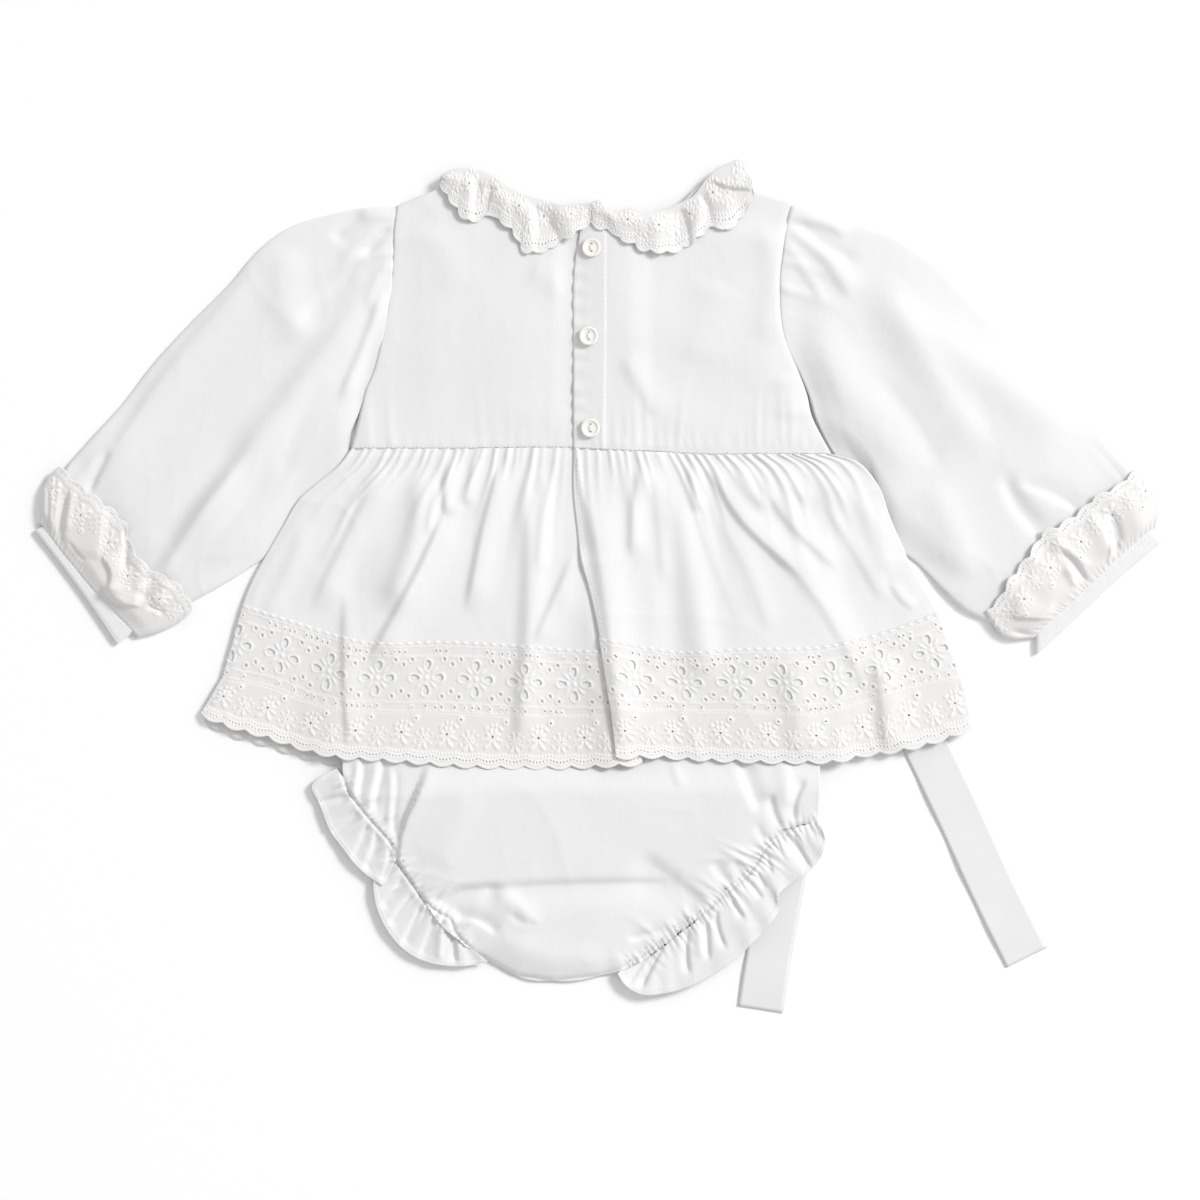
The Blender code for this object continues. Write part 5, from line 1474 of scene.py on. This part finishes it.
class OUTFIT_OT_hem_laces(OutfitPiece, Operator):
    """Sews the scalloped edging under the eyelet bands"""

    bl_idname = "outfit.hem_laces"
    bl_label = "Hem Laces"

    def make(self, context):
        sides = (("left", BAND_FOOT_LEFT, HEM_LEFT), ("right", BAND_FOOT_RIGHT, HEM_RIGHT))
        for side, top, foot in sides:
            pitch = length(foot) / round(length(foot) / HEM_SCALLOP)

            def lying(x, y, u, v):
                flutter = 0.6 * v**2 * hollows(x, y, 21, 111)
                worn = sheet_crumple(x, y, SKIRT_CRUMPLE)
                return skirt_face(x, y, side == "right") + HEM_LACE_RISE + flutter + worn

            hem = lace_strip(f"hem_lace_{side}", moved(top, 0, 1.2), foot, lying, 0.6, edging_lace,
                             lambda s: HEM_SCALLOP_DEPTH * scallop(s, pitch))
            finish_sheet(hem, "eyelet_lace", (225, 26))


class OUTFIT_OT_collar(OutfitPiece, Operator):
    """Lays the two halves of the lace collar on the shoulders"""

    bl_idname = "outfit.collar"
    bl_label = "Collar"

    def make(self, context):
        rows = (
            ("left", COLLAR_NECK_LEFT, COLLAR_FREE_LEFT, (-30, -20), (110, 22)),
            ("right", COLLAR_NECK_RIGHT, COLLAR_FREE_RIGHT, (40, 27), (115, 22)),
        )
        for side, neck, free, onto_placket, cut in rows:
            long = FRILL_FULLNESS * length(free)
            pitch = long / round(long / COLLAR_SCALLOP)

            def waving(x, y, u, v):
                """On the bodice, rising from the neck seam as a roll, with its folds growing
                towards the free edge."""
                on = back_base(x, y) + WALL + LAYER + LAYER * ease(*onto_placket, x)
                shirt = (left_bodice_face if side == "left" else right_bodice_face)(x, y)
                roll = 0.9 * np.sin(np.pi * np.clip(v / 0.8, 0, 1)) ** 0.7
                waves = 1.1 * folds(COLLAR_FOLDS, x, y) * ease(0, 0.35, v)
                return np.maximum(on + 0.3 + roll + waves - 0.5 * v, shirt + 0.8)

            collar = lace_strip(
                f"collar_frill_{side}", neck, free, waving, 0.56,
                lambda s, t, long, reach: edging_lace(s, t, long, reach, COLLAR_SCALLOP),
                lambda s: COLLAR_SCALLOP_DEPTH * scallop(s, pitch), FRILL_FULLNESS,
            )
            finish_sheet(collar, "eyelet_lace", cut)


class OUTFIT_OT_sleeves(OutfitPiece, Operator):
    """Lays the two bishop sleeves, gathered into the armholes and the cuffs"""

    bl_idname = "outfit.sleeves"
    bl_label = "Sleeves"

    def make(self, context):
        rows = (
            ("left", SLEEVE_HEAD_LEFT, CUFF_SEAM_LEFT, SLEEVE_OUTER_LEFT, SLEEVE_INNER_LEFT,
             SLEEVE_FOLDS_LEFT, 131),
            ("right", SLEEVE_HEAD_RIGHT, CUFF_SEAM_RIGHT, SLEEVE_OUTER_RIGHT, SLEEVE_INNER_RIGHT,
             SLEEVE_FOLDS_RIGHT, 137),
        )
        cut = (265, 225)
        for side, head, seam, outer, inner, ridges, seed in rows:
            tuck = -1.0 if side == "right" else 1.0
            head = [(x + tuck * ease(104, 112, y if side == "right" else 140), y) for x, y in head]
            inner = [(x + 5 * tuck * ease(8, 26, y) * ease(77, 66, y), y) for x, y in inner]
            edges = joined(head, seam, outer, inner)

            def low(w, v, x, y):
                return 0.1 + 1.6 * ease(0.84, 0.9, v)

            def high(w, v, x, y):
                """The upper face: a puff across, pleats at the armhole and the cuff, folds."""
                puff = 2.4 * (1 - (2 * w - 1) ** 4) * ease(0.93, 0.78, v) * ease(0, 0.12, v)
                cap = pleats(w, v * 180, 15, 1.5, 20, seed) * ease(0.5, 0.25, w) * ease(0, 0.02, v)
                wrist = pleats(w, (1 - v) * 180, 16, 1.0, 26, seed + 1) * ease(1.0, 0.95, v)
                ridge = folds(ridges, x, y)
                proud, sunk = np.maximum(ridge, 0), np.minimum(ridge, 0)
                ridge = proud * ease(0.88, 0.8, v) + sunk * ease(1, 0.93, v)
                sewn_to = back_base(x, y) + WALL - 0.55
                level = 2.9 + (sewn_to - 2.9) * ease(0.12, 0, v) * ease(86, 106, y)
                level += 1.6 * ease(0.84, 0.9, v) - 2.4 * ease(0.9, 1, v)
                level -= 2.0 * ease(0.83, 0.97, w) * ease(-4, 16, y)
                slow = 1.1 * hollows(0.8 * x + 0.5 * y, 0.6 * y - 0.5 * x, 38, seed + 5)
                slow = slow * ease(0.9, 0.7, v)
                worn = (sheet_crumple(x, y, seed) + slow) * ease(0, 0.06, v)
                return level + puff + ridge + cap + wrist + worn

            sleeve = flattened_tube(f"sleeve_{side}", edges, (72, 112), low, high, cut)
            finish_sheet(sleeve, "cotton_lawn", cut)


class OUTFIT_OT_cuffs(OutfitPiece, Operator):
    """Lays the two cuffs, each with a lace frill turned back over the sleeve"""

    bl_idname = "outfit.cuffs"
    bl_label = "Cuffs"

    def make(self, context):
        rows = (
            ("left", CUFF_SEAM_LEFT, CUFF_HAND_LEFT, FRILL_FREE_LEFT, FRILL_OUTER_LEFT,
             FRILL_INNER_LEFT, -1, 141),
            ("right", CUFF_SEAM_RIGHT, CUFF_HAND_RIGHT, FRILL_FREE_RIGHT, FRILL_OUTER_RIGHT,
             FRILL_INNER_RIGHT, 1, 147),
        )
        for side, sewn, hand, free, outer, inner, hand_side, seed in rows:

            def low(w, v, x, y):
                return 0.1 + 0 * x

            def cuff_top(w, v, x, y):
                pucker = 0.15 * hollows(x, y, 3.2, seed) * ease(0.9, 0.1, v)
                roll = -0.2 * ease(0.15, 0, v) - 0.6 * ease(0.75, 1, v)
                return 3.5 + roll + pucker + 0.5 * sheet_crumple(x, y, seed)

            def frill_top(w, v, x, y):
                """The frill's upper face: it springs up from the cuff, with folds, and waves at
                its edge."""
                wave = 0.5 + 0.5 * np.sin(2 * np.pi * 5 * w + 1.3 * np.sin(9 * w))
                ripple = 1.3 * wave * v * ease(0, 0.1, w) * ease(1, 0.9, w)
                creases = np.clip(folds(CUFF_FRILL_FOLDS, x, y), -2.2, None) * ease(0.02, 0.3, v)
                tight = 2 * np.pi * (w * 30 + 0.5 * hollows(w * 150, 0 * w, 9, seed))
                fine = 0.4 * (0.5 + 0.5 * np.cos(tight)) * ease(0.3, 0.06, v) * ease(0.02, 0.06, v)
                risen = 2.7 + 0.9 * ease(0, 0.05, v) + 3.1 * ease(0.02, 0.3, v) + 0.8 * v
                risen -= 2.2 * (ease(0.13, 0, w) + ease(0.85, 1, w)) * ease(0, 0.3, v)
                return risen + ripple + creases + fine

            cut = (2 * length(sewn) * 1.05, 10.0)
            edges = strip(moved(sewn, -0.5 * hand_side, 0.5), hand)
            cuff = flattened_tube(f"cuff_{side}", edges, (90, 14), low, cuff_top, cut)
            finish_sheet(cuff, "cotton_lawn", cut)
            wider = moved(lengthened(sewn, FRILL_PAST_SLEEVE), 0.8 * hand_side, -0.8)
            edges = joined(wider, free, outer, inner)
            flat = (2 * length(free) * FRILL_FULLNESS, CUFF_FRILL_DEPTH)
            half = flat[0] / 2
            pitch = flat[0] / round(flat[0] / CUFF_SCALLOP)

            def pattern(s, t):
                """Scalloped edging on the upper half of the ring alone."""
                holes, pads = edging_pattern(*flat, pitch, context.scene.outfit_lace)
                holes = [row for row in holes if 2 < row[0] < half - 2]
                pads = [row for row in pads if row[0] < half]
                keep = pierce(s, t, holes)
                raised = np.maximum(embroidery(s, t, holes + pads), satin_edge(s, t, flat[1]))
                hang = CUFF_SCALLOP_DEPTH * scallop(s, pitch) * ease(0.6, 1, t / flat[1])
                return keep, raised, s, t + hang * ease(0, 3, s) * ease(half, half - 3, s)

            frill = flattened_tube(f"cuff_frill_{side}", edges, (170, 62), low, frill_top, flat,
                                   pattern, FRILL_UNDER)
            finish_sheet(frill, "eyelet_lace", (flat[0], 21))


class OUTFIT_OT_ribbons(OutfitPiece, Operator):
    """Lays the satin ribbon: two tails and the knot that holds them"""

    bl_idname = "outfit.ribbons"
    bl_label = "Ribbons"

    def make(self, context):
        tails = (("left", RIBBON_LEFT, 0.88, 300), ("right", RIBBON_RIGHT, 0.57, 280))
        for side, route, flat, long in tails:
            u, v = grid(12, 150)
            across = (u - 0.5) * RIBBON_WIDTH
            plan = curve(route, v) + outward(route, v) * across[..., None]
            wave = 0.5 - 0.5 * np.cos(2 * np.pi * RIBBON_WAVES * (v - flat))
            cup = 0.1 * (np.abs(2 * u - 1)) ** 3
            rise = RIBBON_WAVE_RISE * wave + cup
            rise += 0.12 * (1 + hollows(across, v * long, 14, 151))
            rise *= ease(flat, flat + 0.04, v)
            place = np.dstack([across, v * long])
            tail = add_sheet(f"ribbon_tail_{side}", np.dstack([plan, 0.3 + rise]), place)
            finish_sheet(tail, "satin_ribbon", (RIBBON_WIDTH, long),
                         RIBBON_THICKNESS * MM)
        x, y, wide, deep = RIBBON_KNOT
        u, v = grid(40, 12)
        a, b = 2 * u - 1, 2 * v - 1
        plan = np.dstack([x + wide / 2 * a * np.sqrt(1 - b * b / 2),
                          y - deep / 2 * b * np.sqrt(1 - a * a / 2)])
        pleat = 0.2 * (0.5 + 0.5 * np.cos(2 * np.pi * 3 * v))
        knot = add_sheet("ribbon_knot", np.dstack([plan, 0.6 + pleat]),
                         np.dstack([(v - 0.5) * deep, u * wide]))
        finish_sheet(knot, "satin_ribbon", (deep, wide))


class OUTFIT_OT_buttons(OutfitPiece, Operator):
    """Sews on the three buttons"""

    bl_idname = "outfit.buttons"
    bl_label = "Buttons"

    def make(self, context):
        threads = []
        for number, (x, y) in enumerate(BUTTON_PLACES, 1):
            base = float(back_base(np.array(x), np.array(y))) + LAYER + WALL + SEAM
            u, v = grid(22, 22)
            a, b = 2 * u - 1, 1 - 2 * v
            s = a * np.sqrt(1 - b * b / 2) * BUTTON_RADIUS
            t = b * np.sqrt(1 - a * a / 2) * BUTTON_RADIUS
            round_hole = (BUTTON_HOLE_RADIUS, BUTTON_HOLE_RADIUS, 0, 0, 0)
            holes = [(0, side * BUTTON_HOLE_APART / 2, *round_hole) for side in (-1, 1)]
            keep = pierce(s, t, holes)
            far = np.hypot(s, t) / BUTTON_RADIUS
            dish = np.interp(far, (0, 0.5, 0.62, 0.72, 0.8, 0.9, 0.97, 1.0),
                             (BUTTON_DISH, BUTTON_DISH, 0.68, 0.9, 1.0, 0.97, 0.78, 0.45))
            points = np.dstack([x + s, y + t, base + dish * BUTTON_HEIGHT])
            button = add_sheet(f"button_{number}", points, np.dstack([s, t]), keep)
            wall = button.modifiers.new("thickness", "SOLIDIFY")
            wall.thickness = BUTTON_WALL * MM
            wall.offset = -1
            round_over = button.modifiers.new("smooth", "SUBSURF")
            round_over.levels = round_over.render_levels = 1
            button.data.materials.append(material_of("button_shell"))
            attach(button, "root")
            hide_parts(f"button_{number}")
            middle = base + BUTTON_DISH * BUTTON_HEIGHT
            threads += [(x + across, y, middle) for across in (-0.35, 0.0, 0.35)]
        self.sew(threads)

    def sew(self, middles):
        """Strands across each button's two holes: half-round arcs in the up-and-down plane, a
        small circle carried along each."""
        bends, turns = np.linspace(-0.15, np.pi + 0.15, 13), np.linspace(0, 2 * np.pi, 7)[:-1]
        bend, turn = np.meshgrid(bends, turns)
        along = np.stack([0 * bend, np.cos(bend), 0.35 * np.sin(bend)], axis=-1)
        ring = np.stack([np.cos(turn), 0 * turn, np.sin(turn)], axis=-1) * 0.19
        strand = along * BUTTON_HOLE_APART / 2 + ring - (0, 0, 0.1)
        strands = np.array(middles)[:, None, None] + strand
        make_threads("button_thread", strands, (0, 3, 2, 1))


def make_threads(name, threads, turn):
    """One object of many small threads: their points by thread, round it and along it. turn is
    the order in which a face's four corners are taken, so that it faces outwards."""
    count, around, along = threads.shape[:3]
    number = np.arange(around * along).reshape(around, along)
    faces = faces_of(np.vstack([number, number[:1]]))[:, turn]
    faces = faces[None] + around * along * np.arange(count)[:, None, None]
    mesh = bpy.data.meshes.new(name)
    mesh.from_pydata(threads.reshape(-1, 3) * MM, [], faces.reshape(-1, 4))
    mesh.validate()
    mesh.shade_smooth()
    mesh.materials.append(material_of("thread"))
    piece = bpy.data.objects.new(name, mesh)
    bpy.context.scene.collection.objects.link(piece)
    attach(piece, "root")


def stitched_line(table, aside=0.0, start=0.0, end=1.0, pitch=STITCH_PITCH):
    """Places of the stitches along a table's line, aside of it: both ends of each, pitch mm
    apart, a third of the pitch left free between two."""
    count = round(length(table) * (end - start) / pitch)
    at = start + (end - start) * (np.arange(count)[:, None] + np.array((0.17, 0.83))) / count
    return curve(table, at) + aside * outward(table, at)


class OUTFIT_OT_stitching(OutfitPiece, Operator):
    """Sews the seams and hems that show, stitch by stitch"""

    bl_idname = "outfit.stitching"
    bl_label = "Stitching"

    def make(self, context):
        tables = (LEG_FRILL_HIP, LEG_FRILL_SEAT, LEG_FRILL_RIGHT)
        frills = [np.array(rows, float) for rows in tables]
        hems = [rows[:, :2] + 0.9 * (rows[:, 2:] - rows[:, :2]) for rows in frills]
        cuffs = moved(CUFF_SEAM_LEFT, -1.6, -1.4), moved(CUFF_SEAM_RIGHT, 1.6, -1.4)
        lines = [
            stitched_line(CENTRE_EDGE_BODICE, -2.0),
            stitched_line(moved(PLACKET_STITCH, -0.8)),
            stitched_line(WAIST_LEFT, -1.0, end=0.84),
            stitched_line(WAIST_RIGHT, -1.0),
            stitched_line(CENTRE_EDGE_SKIRT, -2.6, pitch=2.6),
            stitched_line(BAND_TOP_LEFT, 1.2, end=0.93),
            stitched_line(BAND_TOP_RIGHT, 1.2),
            stitched_line(BAND_FOOT_LEFT, -1.2, end=0.93),
            stitched_line(BAND_FOOT_RIGHT, -1.2),
            *(stitched_line(cuff, 0.0, 0.06, 0.94) for cuff in cuffs),
            *(stitched_line(hem, 0.0, 0.02, 0.98) for hem in hems),
        ]
        ends = np.concatenate(lines)
        heights = self.heights(context, ends.reshape(-1, 2)).reshape(-1, 2)
        kept = ~np.isnan(heights).any(axis=1)
        self.sew(np.concatenate([ends, heights[..., None]], axis=-1)[kept])

    def heights(self, context, places):
        """How high the cloth lies at each place: the highest hit of a ray cast straight down."""
        context.view_layer.update()
        meshes = [piece for piece in context.scene.objects if piece.type == "MESH"]
        cloth = [piece for piece in meshes if "cloth" in piece.data.uv_layers]
        high = np.full(len(places), np.nan)
        for number, (x, y) in enumerate(places):
            for piece in cloth:
                low, far = piece.bound_box[0], piece.bound_box[6]
                if not (low[0] < x * MM < far[0] and low[1] < y * MM < far[1]):
                    continue
                hit, spot, _, _ = piece.ray_cast((x * MM, y * MM, 0.05), (0, 0, -1))
                if hit:
                    high[number] = np.nanmax([high[number], spot[2] / MM])
        return high

    def sew(self, ends):
        """Each stitch is a thin lens: rings of four points along it, its thickness the root of
        1 - a^2 for a from -1 to 1, its ends sunk into the cloth."""
        a, turn = np.meshgrid((-0.98, -0.6, 0.0, 0.6, 0.98), np.linspace(0, 2 * np.pi, 5)[:-1])
        round_off = np.sqrt(1 - a * a)
        middle, half = ends.mean(axis=1), (ends[:, 1] - ends[:, 0]) / 2
        side = np.stack([-half[:, 1], half[:, 0]], axis=1)
        side /= np.linalg.norm(half[:, :2], axis=1)[:, None]
        wide = 0.24 * round_off * np.cos(turn)
        tall = 0.2 * round_off * np.sin(turn) - 0.22 * a**4 + 0.08
        points = middle[:, None, None] + a[None, ..., None] * half[:, None, None]
        points[..., :2] += wide[None, ..., None] * side[:, None, None]
        points[..., 2] += tall
        make_threads("stitching", points, (0, 1, 2, 3))


class OUTFIT_OT_stage(OutfitPiece, Operator):
    """Sets the floor, the lights and the camera, which looks straight down"""

    bl_idname = "outfit.stage"
    bl_label = "Floor, Lights and Camera"

    def make(self, context):
        stage, scene = context.scene.outfit_stage, context.scene
        half = stage.floor_side / 2
        u, v = grid(2, 2)
        points = np.dstack([(2 * u - 1) * half, (1 - 2 * v) * half, 0 * u - 0.0001])
        mesh = bpy.data.meshes.new("floor")
        faces = faces_of(np.arange(9).reshape(3, 3))
        mesh.from_pydata(points.reshape(-1, 3), [], faces)
        mesh.materials.append(material_of("floor"))
        floor = bpy.data.objects.new("floor", mesh)
        scene.collection.objects.link(floor)

        world = bpy.data.worlds.new("studio")
        world.use_nodes = True
        background = world.node_tree.nodes["Background"]
        background.inputs["Color"].default_value = (*linear("#FFFFFF"), 1)
        background.inputs["Strength"].default_value = stage.fill_strength
        scene.world = world

        self.hang("window", "SUN", KEY_LIGHT_AT, (0, 0, 0), angle=stage.key_spread,
                  energy=stage.key_strength)
        self.hang("screen", "AREA", SIDE_LIGHT_AT, SIDE_LIGHT_AIM, size=stage.side_size,
                  energy=stage.side_strength)

        lens = bpy.data.cameras.new("camera")
        lens.sensor_width = 36.0
        lens.lens = 36.0 * stage.camera_height / stage.view_width
        camera = bpy.data.objects.new("camera", lens)
        camera.location = (*CAMERA_OVER, stage.camera_height)
        scene.collection.objects.link(camera)
        scene.camera = camera
        scene.view_settings.view_transform = "Standard"

    def hang(self, name, kind, place, aim, **settings):
        """A lamp at a place, turned to what it is aimed at."""
        lamp = bpy.data.lights.new(name, kind)
        for setting, value in settings.items():
            setattr(lamp, setting, value)
        light = bpy.data.objects.new(name, lamp)
        light.location = place
        light.rotation_euler = (Vector(aim) - Vector(place)).to_track_quat("-Z", "Y").to_euler()
        bpy.context.scene.collection.objects.link(light)


# Settings


def size(name, description, default):
    """A length in metres."""
    return FloatProperty(name=name, description=description, default=default, min=0.0, precision=5,
                         subtype="DISTANCE", unit="LENGTH")


def colour(name, description, code):
    """A colour from its sRGB hex."""
    return FloatVectorProperty(name=name, description=description, default=linear(code), size=3,
                               min=0.0, max=1.0, subtype="COLOR")


class OutfitCloth(PropertyGroup):
    """Sizes of the cloth"""

    lawn_thickness: size("Lawn Thickness", "Thickness of the plain cotton", 0.00045)
    lace_thickness: size("Lace Thickness", "Thickness of the embroidered cotton", 0.00035)
    thread_spacing: size("Thread Spacing", "Between two threads of the weave", 0.00045)
    crumple_rise: size("Crumple", "Height of the faint creases of worn cotton", 0.00035)


class OutfitLace(PropertyGroup):
    """Sizes of the lace"""

    flower_repeat: size("Flower Repeat", "Between two flowers of the eyelet band", 0.028)
    petal_reach: size("Petal Reach", "From a flower's middle to a petal's", 0.0068)
    small_eyelet: size("Small Eyelet", "Radius of a small round hole", 0.00085)
    stitch_rise: size("Stitch Rise", "How far satin stitch stands above the cloth", 0.0004)


class OutfitColours(PropertyGroup):
    """Colours of the outfit"""

    lawn: colour("Lawn", "Plain cotton", "#ECECEC")
    lace: colour("Lace", "Embroidered cotton", "#ECEBEA")
    floss: colour("Floss", "Satin stitch and sewing thread", "#F9F8F7")
    satin: colour("Satin", "Ribbon", "#EAEAEB")
    button: colour("Button", "Buttons", "#FBF8F2")
    floor: colour("Floor", "Floor", "#FFFFFF")


class OutfitStage(PropertyGroup):
    """Floor, lights and camera"""

    floor_side: size("Floor Side", "Side of the square floor", 6.0)
    camera_height: size("Camera Height", "From the floor to the camera", 3.0)
    view_width: size("View Width", "Width of the floor that the camera sees", 0.66)
    key_spread: FloatProperty(name="Key Spread", description="How wide the main light looks",
                              default=0.28, min=0.0, max=1.5, subtype="ANGLE", unit="ROTATION")
    key_strength: FloatProperty(name="Key Strength", default=1.91, min=0.0,
                                description="Power of the main light a square metre")
    side_size: size("Side Light Size", "Side of the square soft light at the right", 0.5)
    side_strength: FloatProperty(name="Side Strength", default=1.0, min=0.0,
                                 description="Power of the soft light in watts")
    fill_strength: FloatProperty(name="Fill Strength", description="Brightness of the sky around",
                                 default=0.595, min=0.0)


MAKERS = (
    OUTFIT_OT_stage, OUTFIT_OT_ribbons, OUTFIT_OT_front, OUTFIT_OT_bloomers, OUTFIT_OT_leg_frills,
    OUTFIT_OT_bodice_back, OUTFIT_OT_skirt_back, OUTFIT_OT_lace_bands, OUTFIT_OT_hem_laces,
    OUTFIT_OT_collar, OUTFIT_OT_sleeves, OUTFIT_OT_cuffs, OUTFIT_OT_buttons, OUTFIT_OT_stitching,
)
SETTINGS = (
    ("outfit_cloth", OutfitCloth), ("outfit_lace", OutfitLace), ("outfit_colours", OutfitColours),
    ("outfit_stage", OutfitStage),
)


class OUTFIT_PT_panel(Panel):
    """Sizes and colours of the outfit, and a button for each piece"""

    bl_label = "Baby Blouse and Bloomers"
    bl_space_type = "VIEW_3D"
    bl_region_type = "UI"
    bl_category = "Baby Clothes"

    def draw(self, context):
        for attribute, group in SETTINGS:
            box = self.layout.box()
            box.label(text=group.__doc__)
            for name in group.__annotations__:
                box.prop(getattr(context.scene, attribute), name)
        for maker in MAKERS:
            self.layout.operator(maker.bl_idname)


CLASSES = (*(group for _, group in SETTINGS), *MAKERS, OUTFIT_PT_panel)


def register():
    """Adds the operators, the panel and the scene's settings."""
    for kind in CLASSES:
        bpy.utils.register_class(kind)
    for attribute, group in SETTINGS:
        setattr(bpy.types.Scene, attribute, PointerProperty(type=group))


def unregister():
    """Takes them away again."""
    for attribute, _ in SETTINGS:
        delattr(bpy.types.Scene, attribute)
    for kind in reversed(CLASSES):
        bpy.utils.unregister_class(kind)


def main():
    """Makes the whole outfit, piece by piece."""
    register()
    for maker in MAKERS:
        group, name = maker.bl_idname.split(".")
        getattr(getattr(bpy.ops, group), name)()


if __name__ == "__main__":
    main()
